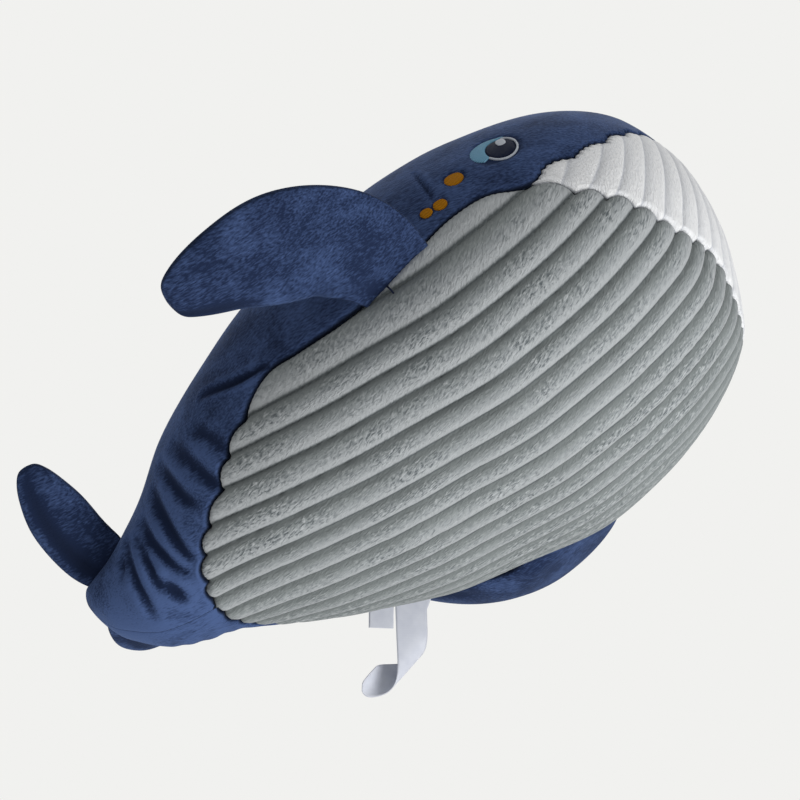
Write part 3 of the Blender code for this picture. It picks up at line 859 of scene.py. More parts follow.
@dataclass(frozen=True)
class RibbedPlush(Finish):
    """Knitted polyester brushed into thick ribs: dull and woolly, with its pile leaning across each rib.

    So one flank of a rib is darker and smooth, its crown is tousled and its other flank is paler: partly
    because the pile leans that way, and partly painted shade and painted light, as from a lamp on the paler
    side. The grooves and the cloth beside the seams are painted darker as shade, and the tufts are painted
    lighter at their tips and darker in their gaps, a painted highlight and shade. The tufts are drawn about
    three times as coarse as real ones, so that they show in the picture.
    """

    name: str
    stops: tuple[tuple[float, str], ...]
    gap: str
    tip: str
    tousle: float
    rib: float = 14.6 * MM
    tuft: float = 1.05 * MM
    strand: float = 3.0 * MM
    slant: float = 0.30
    patch: float = 40.0 * MM
    wander: float = 0.07
    seam_width: float = 1.1 * MM

    def shader_inputs(self, tree: bpy.types.NodeTree) -> Inputs:
        """Lay the pile across the ribs, with painted shade on one flank and painted light on the other, and
        paint shade into the grooves and beside the seams, by the rib, run and seam attributes.

        Args:
            tree: Node tree of the material.

        Returns:
            The inputs of the shader.
        """
        coords = add(tree, "TexCoord", output="Object")
        words = ("rib", "run", "seam")
        rib, run, seam = (add(tree, "Attribute", output="Fac", attribute_name=word) for word in words)
        upright = add(tree, "Math", {0: rib, 1: self.rib / self.tuft}, operation="MULTIPLY")
        slant = self.slant / self.tuft
        across = add(tree, "Math", {0: run, 1: slant, 2: upright}, operation="MULTIPLY_ADD")
        along = add(tree, "Math", {0: run, 1: 1 / self.strand}, operation="MULTIPLY")
        lie = add(tree, "CombineXYZ", {0: across, 1: along})
        tufts = add(tree, "TexNoise", {"Vector": lie, "Scale": 1.0, "Detail": 3.0, "Distortion": 0.6}, "Fac")
        patch = add(tree, "TexNoise", {"Vector": coords, "Scale": 1 / self.patch, "Detail": 2.0}, "Fac")
        wander = add(tree, "Math", {0: tufts, 1: self.wander, 2: rib}, operation="MULTIPLY_ADD")
        phase = add(tree, "Math", {0: wander}, operation="FRACT")
        # Ramp across each rib: painted shade in the groove and on one flank, painted light on the other,
        # partly the pile's slant.
        lean_and_light = add(tree, "ValToRGB", {0: phase})
        elements = lean_and_light.node.color_ramp.elements
        for position, _ in self.stops[1:-1]:
            elements.new(position)
        for element, (position, colour) in zip(elements, self.stops):
            element.position = position
            element.color = linear(colour)
        crown = add(tree, "Math", {0: wander, 1: 0.5}, operation="PINGPONG")
        crest = {"Value": crown, "From Min": 0.10, "From Max": 0.34}
        tousled = add(tree, "MapRange", crest, interpolation_type="SMOOTHSTEP")
        worn = {"Value": patch, "From Min": 0.38, "From Max": 0.62, "To Min": 0.25, "To Max": self.tousle}
        loose = add(tree, "Math", {0: tousled, 1: add(tree, "MapRange", worn)}, operation="MULTIPLY")
        wool = lean_and_light
        # Painted highlight on the tuft tips and painted shade in the gaps between the tufts.
        for lowest, highest, colour in ((0.54, 0.70, self.tip), (0.50, 0.36, self.gap)):
            tuft = add(tree, "MapRange", {"Value": tufts, "From Min": lowest, "From Max": highest})
            shown = add(tree, "Math", {0: tuft, 1: loose}, operation="MULTIPLY")
            wool = add(tree, "Mix", {0: shown, 6: wool, 7: linear(colour)}, 2, data_type="RGBA")
        # Painted shade beside the seams: the cloth there takes the dark groove colour.
        beside = {"Value": seam, "From Min": 0.0, "From Max": self.seam_width}
        seam_shade_fade = add(tree, "MapRange", beside, interpolation_type="SMOOTHSTEP")
        groove = linear(self.stops[0][1])
        return {
            "Base Color": add(tree, "Mix", {0: seam_shade_fade, 6: groove, 7: wool}, 2, data_type="RGBA"),
            "Normal": add(tree, "Bump", {"Strength": 0.8, "Distance": 1.2 * MM, "Height": tufts}),
            "Roughness": 0.95,
            "Specular IOR Level": 0.05,
            "Sheen Weight": 0.12,
            "Sheen Roughness": 0.6,
        }


@dataclass(frozen=True)
class ShortPilePlush(Finish):
    """Short-pile polyester plush: velvety, brushed in patches, its dense pile bright at grazing angles.

    Fold valleys and the cloth beside the seams are painted darker as shade, and fold ridges painted lighter
    as light, through the brushed colour, which also marks the brushed patches. The nap is drawn about three
    times as coarse as the real one, so that it shows in the picture.
    """

    name: str
    colour: str
    brushed: str
    seam_shade: str
    nap: float = 0.9 * MM
    lay: float = 3.8 * MM
    lay_turn: float = 0.3
    patch: float = 24.0 * MM
    nap_share: float = 1.1
    ridge_light_share: float = 0.30 / MM
    seam_width: float = 1.6 * MM
    valley: tuple[float, float] = (3.4 * MM, 0.3 * MM)
    valley_light: float = 0.52

    def shader_inputs(self, tree: bpy.types.NodeTree) -> Inputs:
        """Paint shade into the fold valleys and beside the seams, and light onto the fold ridges, by the
        seam and fold attributes.

        Args:
            tree: Node tree of the material.

        Returns:
            The inputs of the shader.
        """
        coords = add(tree, "TexCoord", output="Object")
        seam, fold = (add(tree, "Attribute", output="Fac", attribute_name=word) for word in ("seam", "fold"))
        sizes = (1 / self.nap, 1 / self.lay, 1 / self.nap)
        turn = (0.0, 0.0, self.lay_turn)
        combed = add(tree, "Mapping", {"Vector": coords, "Scale": sizes, "Rotation": turn})
        nap = add(tree, "TexNoise", {"Vector": combed, "Scale": 1.0, "Detail": 2.0}, "Fac")
        clouds = {"Vector": coords, "Scale": 1 / self.patch, "Detail": 3.0, "Distortion": 0.5}
        patch = add(tree, "TexNoise", clouds, "Fac")
        mixed = add(tree, "Math", {0: nap, 1: self.nap_share, 2: patch}, operation="MULTIPLY_ADD")
        # Painted light: a raised fold value pushes the pile towards the brushed colour.
        ridge_lit = add(tree, "Math", {0: fold, 1: self.ridge_light_share, 2: mixed}, operation="MULTIPLY_ADD")
        brushed = add(tree, "MapRange", {"Value": ridge_lit, "From Min": 0.76, "From Max": 1.36})
        colours = {0: brushed, 6: linear(self.colour), 7: linear(self.brushed)}
        pile = add(tree, "Mix", colours, 2, data_type="RGBA")
        # Painted shade: deep fold valleys and the cloth beside the seams take the seam_shade colour.
        deep, shallow = self.valley
        dip = {"Value": fold, "From Min": -deep, "From Max": -shallow, "To Min": self.valley_light}
        beside = {"Value": seam, "From Min": 0.0, "From Max": self.seam_width}
        ways = (dip, beside)
        valley_shade_fade, seam_shade_fade = (add(tree, "MapRange", way, interpolation_type="SMOOTHSTEP") for way in ways)
        shown = add(tree, "Math", {0: seam_shade_fade, 1: valley_shade_fade}, operation="MULTIPLY")
        shaded = {0: shown, 6: linear(self.seam_shade), 7: pile}
        return {
            "Base Color": add(tree, "Mix", shaded, 2, data_type="RGBA"),
            "Normal": add(tree, "Bump", {"Strength": 0.6, "Distance": 0.6 * MM, "Height": nap}),
            "Roughness": 0.85,
            "Specular IOR Level": 0.08,
            "Sheen Weight": 0.25,
            "Sheen Roughness": 0.4,
            "Sheen Tint": linear("#7F97C4"),
        }


@dataclass(frozen=True)
class SatinStitch(Finish):
    """Rayon embroidery thread laid side by side: fine parallel ridges with a faint silky gloss."""

    name: str
    colour: str
    shade: str
    uneven_reach: float = 2.5 * MM
    unevenness: float = 0.8

    def shader_inputs(self, tree: bpy.types.NodeTree) -> Inputs:
        """Shade the gaps between the threads, by the thread attribute.

        Args:
            tree: Node tree of the material.

        Returns:
            The inputs of the shader.
        """
        coords = add(tree, "TexCoord", output="Object")
        thread = add(tree, "Attribute", output="Fac", attribute_name="thread")
        uneven = add(tree, "TexNoise", {"Vector": coords, "Scale": 1 / self.uneven_reach}, "Fac")
        wander = add(tree, "Math", {0: uneven, 1: self.unevenness, 2: thread}, operation="MULTIPLY_ADD")
        ridge = add(tree, "Math", {0: wander, 1: 0.5}, operation="PINGPONG")
        top = {"Value": ridge, "From Min": 0.02, "From Max": 0.3}
        lit = add(tree, "MapRange", top, interpolation_type="SMOOTHSTEP")
        colours = {0: lit, 6: linear(self.shade), 7: linear(self.colour)}
        return {
            "Base Color": add(tree, "Mix", colours, 2, data_type="RGBA"),
            "Normal": add(tree, "Bump", {"Strength": 0.6, "Distance": 0.3 * MM, "Height": lit}),
            "Roughness": 0.6,
            "Specular IOR Level": 0.05,
        }


@dataclass(frozen=True)
class LabelRibbon(Finish):
    """Woven polyester ribbon: bare, smooth and faintly ribbed across, with a soft satin gloss."""

    name: str
    colour: str
    shade: str
    cloud: float = 7.0 * MM

    def shader_inputs(self, tree: bpy.types.NodeTree) -> Inputs:
        """Rib the ribbon by its thread attribute.

        Args:
            tree: Node tree of the material.

        Returns:
            The inputs of the shader.
        """
        coords = add(tree, "TexCoord", output="Object")
        thread = add(tree, "Attribute", output="Fac", attribute_name="thread")
        ridge = add(tree, "Math", {0: thread, 1: 0.5}, operation="PINGPONG")
        cloud = add(tree, "TexNoise", {"Vector": coords, "Scale": 1 / self.cloud}, "Fac")
        colours = {0: cloud, 6: linear(self.shade), 7: linear(self.colour)}
        return {
            "Base Color": add(tree, "Mix", colours, 2, data_type="RGBA"),
            "Normal": add(tree, "Bump", {"Strength": 0.25, "Distance": 0.15 * MM, "Height": ridge}),
            "Roughness": 0.5,
            "Specular IOR Level": 0.2,
            "Sheen Weight": 0.15,
        }


@dataclass(frozen=True)
class FibreFilling(Finish):
    """Carded polyester fibre: white, dull and cloudy with loose strands."""

    name: str = "carded polyester fibre"
    colour: str = "#E6E5E0"
    shade: str = "#C9C8C2"
    strand: float = 2.2 * MM

    def shader_inputs(self, tree: bpy.types.NodeTree) -> Inputs:
        """Cloud the fibre.

        Args:
            tree: Node tree of the material.

        Returns:
            The inputs of the shader.
        """
        coords = add(tree, "TexCoord", output="Object")
        strands = {"Vector": coords, "Scale": 1 / self.strand, "Detail": 5.0, "Distortion": 1.5}
        cloud = add(tree, "TexNoise", strands, "Fac")
        colours = {0: cloud, 6: linear(self.shade), 7: linear(self.colour)}
        return {
            "Base Color": add(tree, "Mix", colours, 2, data_type="RGBA"),
            "Normal": add(tree, "Bump", {"Strength": 0.7, "Distance": 1.0 * MM, "Height": cloud}),
            "Roughness": 1.0,
        }


@dataclass(frozen=True)
class StudioFloor(Finish):
    """Matt pale paper: plain, and open when seen from below, for the lower lamps and the camera."""

    name: str = "pale studio floor"
    colour: str = "#ECEBE8"

    def shader_inputs(self, tree: bpy.types.NodeTree) -> Inputs:
        """Open the underside of the floor.

        Args:
            tree: Node tree of the material.

        Returns:
            The inputs of the shader.
        """
        below = add(tree, "NewGeometry", output="Backfacing")
        paper = tree.nodes["Principled BSDF"].outputs[0]
        mixed = add(tree, "MixShader", {0: below, 1: paper, 2: add(tree, "BsdfTransparent")})
        feed(tree, tree.nodes["Material Output"], {0: mixed})
        return {"Base Color": linear(self.colour), "Roughness": 0.9, "Specular IOR Level": 0.1}


class Slot(Enum):
    """Material slots, each with the finish that fills it."""

    GREY = (
        "grey_ribbed_plush",
        RibbedPlush(
            "grey ribbed plush",
            # Ramp across a rib: dark ends are painted shade in the groove, the darker flank painted shade,
            # the paler flank painted light; gap and tip are painted shade and highlight of the tufts.
            stops=(
                (0.00, "#545A5C"),
                (0.06, "#727878"),
                (0.30, "#8A9090"),
                (0.55, "#9A9FA1"),
                (0.80, "#ACB0B2"),
                (0.93, "#A6AAAC"),
                (1.00, "#545A5C"),
            ),
            gap="#60676A",
            tip="#BFC3C5",
            tousle=1.0,
        ),
    )
    WHITE = (
        "white_ribbed_plush",
        RibbedPlush(
            "white ribbed plush",
            # The greyer ends of the ramp and the gap colour are painted shade in grooves, beside seams and
            # between tufts; tip is a painted highlight.
            stops=(
                (0.00, "#C3C6CC"),
                (0.08, "#E0E2E5"),
                (0.50, "#EDEEEF"),
                (0.92, "#EFF0F1"),
                (1.00, "#C3C6CC"),
            ),
            gap="#D6D9DE",
            tip="#F4F4F5",
            tousle=0.5,
        ),
    )
    # 475B86 marks the brushed patches and is also painted light on fold ridges and the tail end; #111828 is
    # painted shade.
    NAVY = ("navy_plush", ShortPilePlush("navy short-pile plush", "#1C2844", "#475B86", "#111828"))
    FIBRE = ("fibre_filling", FibreFilling())
    NAVY_THREAD = ("navy_thread", SatinStitch("navy rayon thread", "#111A33", "#0A1020"))
    WHITE_THREAD = ("white_thread", SatinStitch("white rayon thread", "#D3D8E0", "#A0A8B6"))
    BLUE_THREAD = ("pale_blue_thread", SatinStitch("pale blue rayon thread", "#7BACC8", "#477693"))
    OCHRE_THREAD = ("ochre_thread", SatinStitch("ochre rayon thread", "#BC7D12", "#6E4509"))
    LABEL = ("label_cloth", LabelRibbon("woven label ribbon", "#D3D6DE", "#BABECA"))

    def dress(self, piece: bpy.types.Object) -> None:
        """Give a piece this finish.

        Args:
            piece: Piece without a material.
        """
        slot, finish = self.value
        piece.data.materials.append(finish.material())


def placed(name: str, data: bpy.types.ID) -> bpy.types.Object:
    """Put an object with these data at the origin of the scene.

    Args:
        name: Name of the object.
        data: Its mesh, lamp or camera.

    Returns:
        The object.
    """
    thing = bpy.data.objects.new(name, data)
    bpy.context.scene.collection.objects.link(thing)
    return thing


def mesh_from(name: str, body: bmesh.types.BMesh) -> bpy.types.Object:
    """Put a bmesh into the scene as an object, and free it.

    Args:
        name: Name of the object.
        body: Mesh, in the world.

    Returns:
        The object, at the origin.
    """
    mesh = bpy.data.meshes.new(name)
    body.to_mesh(mesh)
    body.free()
    return placed(name, mesh)


def object_from(name: str, body: bmesh.types.BMesh) -> bpy.types.Object:
    """Make a piece from a closed bmesh, its faces pointing out.

    Args:
        name: Name of the piece.
        body: Closed mesh, in the world.

    Returns:
        The piece, at the origin.
    """
    bmesh.ops.remove_doubles(body, verts=body.verts, dist=0.01 * MM)
    bmesh.ops.recalc_face_normals(body, faces=body.faces)
    if body.calc_volume(signed=True) < 0:
        bmesh.ops.reverse_faces(body, faces=body.faces)
    for face in body.faces:
        face.smooth = True
    return mesh_from(name, body)


def shell(name: str, columns: int, rows: int, place: Place) -> bpy.types.Object:
    """Make a closed slab from a grid.

    Args:
        name: Name of the piece.
        columns: Count of faces along a.
        rows: Count of faces along b.
        place: Point and attributes at (a, b) on the inner (0) or outer (1) layer.

    Returns:
        The piece.
    """
    body = bmesh.new()
    words = list(place(0.5, 0.5, 1)[1])
    for word in words:
        body.verts.layers.float.new(word)
    layers = {word: body.verts.layers.float[word] for word in words}
    bmesh.ops.create_grid(body, x_segments=columns, y_segments=rows, size=0.5)
    raised = bmesh.ops.extrude_face_region(body, geom=body.faces[:])["geom"]
    outer = {part for part in raised if isinstance(part, bmesh.types.BMVert)}
    for vert in body.verts:
        point, values = place(vert.co.x + 0.5, vert.co.y + 0.5, 1 if vert in outer else 0)
        vert.co = point
        for word, value in values.items():
            vert[layers[word]] = value
    return object_from(name, body)


def settle(piece: bpy.types.Object) -> None:
    """Replace a piece's mesh with what its modifiers make of it.

    Args:
        piece: Piece with modifiers.
    """
    graph = bpy.context.evaluated_depsgraph_get()
    mesh = bpy.data.meshes.new_from_object(piece.evaluated_get(graph), depsgraph=graph)
    piece.modifiers.clear()
    piece.data = mesh


@dataclass
class BodyCloth:
    """Panels sewn round the filling: ribbed belly and muzzle, smooth back in two halves."""

    form: BodyForm
    pattern: Pattern
    seams: SeamField
    crest_lift: float = 0.2 * MM
    rib_depth: float = 3.6 * MM
    muzzle_rib_depth: float = 1.8 * MM
    plush_thickness: float = 2.2 * MM
    ribbed_roll: float = 4.2 * MM
    smooth_roll: float = 3.2 * MM
    scallop: float = 3.0 * MM
    scallop_reach: float = 4.2 * MM
    press_depth: float = 1.1 * MM
    waviness: float = 0.5 * MM
    wave_length: float = 32.0 * MM
    floor_gap: float = 0.2 * MM
    muzzle_reach: float = 65.0 * MM
    crease_strength: float = 1.3
    far_crease_strength: float = 0.2
    head_fullness: float = 1.4 * MM
    # Painted light: the fold value is raised on the underside of the tail end, so it is painted lighter.
    painted_tail_light: float = 2.2 * MM
    painted_light_reach: float = 0.4
    painted_light_turn: float = 1.5
    swell_rolls: float = 6.0
    floor_share: float = 0.7
    corner_rolls: float = 3.0
    muzzle_squareness: float = 2.6
    head_start: tuple[float, float] = (0.5, 1.95)
    head_ease: tuple[float, float] = (0.15, 0.35)
    dent_edge: float = 1.28
    dent_ease: float = 0.22
    half_gap: float = 0.02 * MM
    filling_depth: float = 9 * MM
    filling_floor: float = 6 * MM
    lump: float = 25 * MM
    lumpiness: float = 1 * MM
    belly_faces: tuple[int, int] = (170, 280)
    muzzle_faces: tuple[int, int] = (300, 60)
    back_faces: tuple[int, int] = (300, 110)
    filling_faces: int = 64
    presses: Sequence[Press] = ()
    creases: Sequence[Crease] = (
        Crease(((0.1932, 103.6), (0.1919, 75.0), (0.1982, 62.5)), 1.6 * MM, 3.4 * MM),
        Crease(((0.1628, 98.9), (0.1524, 72.6), (0.1473, 51.4), (0.1504, 39.7)), 2.0 * MM, 3.4 * MM),
        Crease(((0.1266, 94.6), (0.1213, 71.6), (0.1270, 45.9), (0.1374, 34.5)), 2.0 * MM, 3.1 * MM),
        Crease(((0.1090, 89.9), (0.1004, 64.4), (0.0940, 44.9), (0.1066, 22.9)), 2.0 * MM, 2.9 * MM),
        Crease(((0.0941, 99.1), (0.0767, 71.9), (0.0678, 41.7), (0.0626, 22.1)), 1.8 * MM, 2.9 * MM),
        Crease(((0.0781, 94.9), (0.0605, 73.6)), 1.4 * MM, 2.3 * MM),
        Crease(((0.1056, 44.1), (0.1112, 23.9)), 2.0 * MM, 2.9 * MM),
        Crease(((0.2218, 98.6), (0.2337, 68.2), (0.2404, 60.1)), 1.4 * MM, 3.9 * MM),
        Crease(((0.2594, 90.4), (0.2773, 72.3)), 1.1 * MM, 3.9 * MM),
        Crease(((0.3887, 82.0), (0.3400, 89.0), (0.2942, 101.0)), 2.2 * MM, 2.1 * MM),
        Crease(((0.7018, 92.0), (0.7018, 112.0)), 1.1 * MM, 1.3 * MM),
    )

    def rolled(self, distance: float, radius: float) -> float:
        """Find how deep the cloth lies beside a seam.

        Args:
            distance: Distance from the seam.
            radius: Radius with which the cloth rolls into it.

        Returns:
            The height above the surface, below zero beside the seam.
        """
        if distance >= radius:
            return 0.0
        return math.sqrt(radius**2 - (radius - distance) ** 2) - radius

    def cloth_point(
        self, place: Vector, layer: int, relief: Relief, radius: float, swell: float = 0.0
    ) -> tuple[Vector, float, float]:
        """Find a point of a panel.

        Args:
            place: Place on the body.
            layer: 1 for the outside of the cloth and 0 for its inside.
            relief: Height of the outside at a point and its distance from the seam.
            radius: Radius with which the cloth rolls into its seams.
            swell: How far it stands out away from its seams.

        Returns:
            The point, its distance from the nearest seam, and its relief.
        """
        base, normal = self.form.stance(*place)
        distance, seam = self.seams.nearest(base)
        unevenness = noise.noise(base / self.wave_length) * self.waviness
        lift = unevenness * min(distance / radius, 1.0) + self.rolled(distance, radius) * seam.depth
        height = relief(base, distance)
        lift += height + swell * min(distance / (self.swell_rolls * radius), 1.0)
        reach = self.scallop * math.exp(-((distance / self.scallop_reach) ** 2))
        point = base + normal * (lift - (0 if layer else self.plush_thickness)) + seam.aside * reach
        floor = self.floor_gap + (0 if layer else self.plush_thickness * self.floor_share)
        point.z = max(point.z, floor)
        return point, distance / seam.depth, height

    def belly(self) -> bpy.types.Object:
        """Make the ribbed belly panel.

        Returns:
            The piece.
        """

        def place(a: float, b: float, layer: int) -> Vertex:
            """Point on the panel, and its attributes."""
            spot = self.pattern.belly(a, b)
            rib = self.pattern.belly_rib(spot)

            def relief(_: Vector, __: float) -> float:
                """Height of the ribs."""
                return self.crest_lift - self.rib_depth * (1.0 - rib_height(rib))

            point, distance, _ = self.cloth_point(spot, layer, relief, self.ribbed_roll)
            run = (1.0 - math.cos(math.pi * spot.x)) / 2 * self.form.length
            return point, {"rib": rib, "run": run, "seam": distance}

        piece = shell("belly_cloth", *self.belly_faces, place)
        Slot.GREY.dress(piece)
        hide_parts("belly_panel")
        return piece

    def muzzle(self) -> bpy.types.Object:
        """Make the ribbed muzzle panel.

        Returns:
            The piece.
        """

        def place(a: float, b: float, layer: int) -> Vertex:
            """Point on the panel, and its attributes."""
            spot = self.pattern.muzzle(a, b)
            rib = self.pattern.muzzle_rib(a)

            def relief(_: Vector, distance: float) -> float:
                """Height of the ribs, which is less in the corners."""
                narrow = min(distance / (self.corner_rolls * self.ribbed_roll), 1.0)
                valley = 1.0 - rib_height(rib, self.muzzle_squareness)
                return self.crest_lift - self.muzzle_rib_depth * narrow * valley

            point, distance, _ = self.cloth_point(spot, layer, relief, self.ribbed_roll)
            return point, {"rib": rib, "run": b * self.muzzle_reach, "seam": distance}

        piece = shell("muzzle_cloth", *self.muzzle_faces, place)
        Slot.WHITE.dress(piece)
        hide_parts("muzzle_panel")
        return piece

    def back(self, side: Side) -> bpy.types.Object:
        """Make one smooth back panel.

        Args:
            side: Which half of the back.

        Returns:
            The piece.
        """
        strength = self.crease_strength if side is Side.RIGHT else self.far_crease_strength
        folds = Creases(self.form, side, self.creases, strength)

        def place(a: float, b: float, layer: int) -> Vertex:
            """Point on the panel, and its attributes."""
            spot = self.pattern.back(a, b)
            spot = spot if side is Side.RIGHT else mirrored(spot)
            ways = zip((spot.x, abs(spot.y)), self.head_start, self.head_ease)
            head = math.prod(clamp((way - start) / ease) for way, start, ease in ways)

            def relief(base: Vector, _: float) -> float:
                """Depth of the folds and of the dents under the embroidery."""
                share = min((press.share(self.form, spot) for press in self.presses), default=FAR_SHARE)
                dent = clamp((self.dent_edge - share) / self.dent_ease)
                return folds.lift(base) - self.press_depth * dent * dent * (3 - 2 * dent)

            swell = self.head_fullness * head
            # The relief is also the fold attribute: the shader paints shade into fold valleys and the dents
            # round the embroidery, and light on the banks.
            point, distance, fold = self.cloth_point(spot, layer, relief, self.smooth_roll, swell)
            point.x = -side.value * max(-side.value * point.x, self.half_gap)
            # Painted light on the underside of the tail end.
            rear = max(1.0 - spot.x / self.painted_light_reach, 0.0) * max(1.0 - abs(spot.y) / self.painted_light_turn, 0.0)
            return point, {"seam": distance, "fold": fold + self.painted_tail_light * rear}

        piece = shell(f"back_cloth_{side.word}", *self.back_faces, place)
        Slot.NAVY.dress(piece)
        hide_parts(f"back_panel_{side.word}")
        return piece

    def filling(self) -> bpy.types.Object:
        """Make the filling inside the panels.

        Returns:
            The piece.
        """
        ball = bmesh.new()
        faces = self.filling_faces
        bmesh.ops.create_uvsphere(ball, u_segments=faces, v_segments=faces, radius=1.0)
        for vert in ball.verts:
            u = math.acos(min(max(vert.co.z, -1.0), 1.0)) / math.pi
            angle = math.atan2(vert.co.x, vert.co.y)
            point = self.form.point(u, angle, -self.filling_depth)
            lump = noise.noise(point / self.lump) * self.lumpiness
            point = self.form.point(u, angle, -self.filling_depth + lump)
            point.z = max(point.z, self.filling_floor)
            vert.co = point
        piece = object_from("body_filling", ball)
        Slot.FIBRE.dress(piece)
        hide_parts("body_stuffing")
        return piece

    def build(self) -> list[bpy.types.Object]:
        """Make the body's pieces.

        Returns:
            The pieces, all riding on the body.
        """
        pieces = [self.belly(), self.muzzle(), *(self.back(side) for side in Side), self.filling()]
        for piece in pieces:
            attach(piece, "body")
        return pieces


class Root:
    """Straight line on the body that a limb or a label is sewn along."""

    STEPS = 8
    CLEARANCE = 0.3 * MM

    def __init__(self, form: BodyForm, rear_place: Vector, front_place: Vector, side: Side) -> None:
        """Find the line and its directions.

        Args:
            form: Body that carries it.
            rear_place: Place of its rear end.
            front_place: Place of its front end.
            side: Side of the body.
        """
        rear = form.point(*rear_place)
        front = form.point(*front_place)
        lateral = Vector((-side.value, 0.0, 0.0))
        self.axis = (front - rear).normalized()
        self.level = (lateral - self.axis * lateral.dot(self.axis)).normalized()
        self.up = self.level.cross(self.axis) * side.value
        self.middle = (rear + front) / 2
        normal = form.stance(*rear_place.lerp(front_place, 0.5))[1]
        self.outward = (normal - self.axis * normal.dot(self.axis)).normalized()
        shares = [step / self.STEPS for step in range(self.STEPS + 1)]
        self.line = [form.point(*rear_place.lerp(front_place, share)) for share in shares]

    def clear_point(self, radius: float) -> Vector:
        """Point out from the middle of the line where a rod of this radius clears the body."""
        bulge = max((point - self.middle).dot(self.outward) for point in self.line)
        return self.middle + self.outward * (self.CLEARANCE + bulge + radius)


CLOTH_SETTINGS = {
    "quality": 6,
    "mass": 0.2,
    "tension_stiffness": 12.0,
    "compression_stiffness": 12.0,
    "shear_stiffness": 4.0,
    "bending_stiffness": 0.2,
    "use_pressure": True,
    "uniform_pressure_force": 4.0,
}


@dataclass
class Limb:
    """Fin or fluke lobe: two plush leaves sewn round their edge, lightly filled."""

    name: str
    body: str
    root: Root
    lift: float
    bend_reach: float
    reach: float
    sweep: float
    chord: float
    thickness: float
    tip_rise: float
    widths: Table
    groove: tuple[float, float, float]
    groove_depth: float = 2.6 * MM
    groove_width: float = 0.17
    tuck: float = 4.0 * MM
    tuck_span: float = 0.22
    root_rounding: float = 0.11
    rounding_span: float = 0.16
    hidden_share: float = 0.08
    lip_rate: float = 8.0
    floor_gap: float = 0.2 * MM
    # Painted shade: the fold value of each limb is lowered, the more so towards its root, so the shader
    # darkens it.
    shade_depth: float = 0.4 * MM
    shade_span: float = 0.25
    edge_offset: float = 0.6 * MM
    filling_share: float = 0.45
    filling_gap: float = 4.5 * MM
    filling_start: float = 0.12
    pinned: float = 3 * MM
    puff_cap: float = 3.5 * MM
    puff_frames: int = 20
    sink: float = 4.0 * MM
    edge: float = 1.55 * MM
    facet_sag: float = 0.35 * MM
    peak_share: float = 0.45
    slack: float = 0.72
    held: float = 0.9
    columns: int = 44
    rows: int = 26

    def __post_init__(self) -> None:
        """Work out the limb's directions."""
        self.out = self.root.level * math.cos(self.lift) + self.root.up * math.sin(self.lift)
        self.normal = self.root.up * math.cos(self.lift) - self.root.level * math.sin(self.lift)
        self.bend = Vector((self.bend_reach, 0.0))
        self.tip = Vector((self.reach, -self.sweep))
        self.table = SmoothTable(self.widths)
        self.hinge = self.root.clear_point(self.edge - self.facet_sag)
        self.start = self.hinge - self.out * self.edge

    def fullness(self, v: float) -> float:
        """Find how full the limb is along it.

        Args:
            v: Share of the way from root to tip.

        Returns:
            The share of its full thickness.
        """
        if v < self.peak_share:
            return math.sin(v / self.peak_share * math.pi / 2) ** 2
        return math.cos((v - self.peak_share) / (1.0 - self.peak_share) * math.pi / 2)

    def pressed(self, v: float, c: float) -> float:
        """Find the depth of the fold beside the rear edge of the lower leaf.

        Args:
            v: Share of the way from root to tip.
            c: Place across the limb, from -1 to 1.

        Returns:
            The depth.
        """
        place, middle, half = self.groove
        window = max(1.0 - ((v - middle) / half) ** 2, 0.0)
        return self.groove_depth * window * math.exp(-(((c - place) / self.groove_width) ** 2))

    def leaf_point(
        self, v: float, c: float, face: int, fill: float, narrowing: float
    ) -> tuple[Vector, float]:
        """Find a point of the limb's surface.

        Args:
            v: Share of the way from root to tip; below 0 it runs into the body.
            c: Place across the limb, from -1 to 1.
            face: 1 above and -1 below.
            fill: Share of the full thickness.
            narrowing: How much narrower each edge is than the limb's.

        Returns:
            The point, and its distance from the edge.
        """
        along = max(v, 0.0)
        t = math.sin(along * math.pi / 2)
        centre = (self.bend * t).lerp(self.bend.lerp(self.tip, t), t)
        pace = self.bend.lerp(self.tip - self.bend, t) * 2
        run = pace.normalized()
        width = max(self.table(along)[0] * self.chord / 2 - narrowing, 0.0)
        width *= 1.0 - self.root_rounding * max(1.0 - along / self.rounding_span, 0.0) ** 2
        across = math.sin(c * math.pi / 2) * width
        tucked = self.tuck * c**4 * max(1.0 - along / self.tuck_span, 0.0)
        flat = centre + Vector((-run.y, run.x)) * across + Vector((min(v, 0.0) * self.sink - tucked, 0.0))
        full = self.fullness(along) * math.cos(c * math.pi / 2)
        inner = 0.0 if abs(c) > 0.9999 else 1.0 - c**6
        lip = self.edge * math.sqrt(inner) * min((1.0 - along) * self.lip_rate, 1.0)
        depth = lip + full * (self.thickness / 2 - self.edge)
        height = face * (depth - min(self.pressed(v, c) if face < 0 else 0.0, 0.5 * depth)) * fill
        slope = 4 * self.tip_rise * t**3 / pace.length
        square = (self.normal - (self.out * run.x + self.root.axis * run.y) * slope).normalized()
        rise = self.normal * (self.tip_rise * t**4) + square * height
        from_edge = min(width - abs(across), (1.0 - v) * self.reach)
        return self.start + self.out * flat.x + self.root.axis * flat.y + rise, from_edge

    def leaf(self, name: str, fill: float, narrowing: float, first: float) -> bpy.types.Object:
        """Make a closed leaf.

        Args:
            name: Name of the piece.
            fill: Share of the full thickness.
            narrowing: How much narrower each edge is than the limb's.
            first: v of its first row.

        Returns:
            The piece.
        """

        def place(a: float, b: float, layer: int) -> Vertex:
            """Point on the leaf, and its distance from the edge."""
            hidden = self.hidden_share
            v = first + (1.0 - first) * a if first >= 0 else a * (1.0 + hidden) - hidden
            v = v / hidden if v < 0 else v
            c = 2.0 * b - 1.0
            point, from_edge = self.leaf_point(v, c, 1 if layer else -1, fill, narrowing)
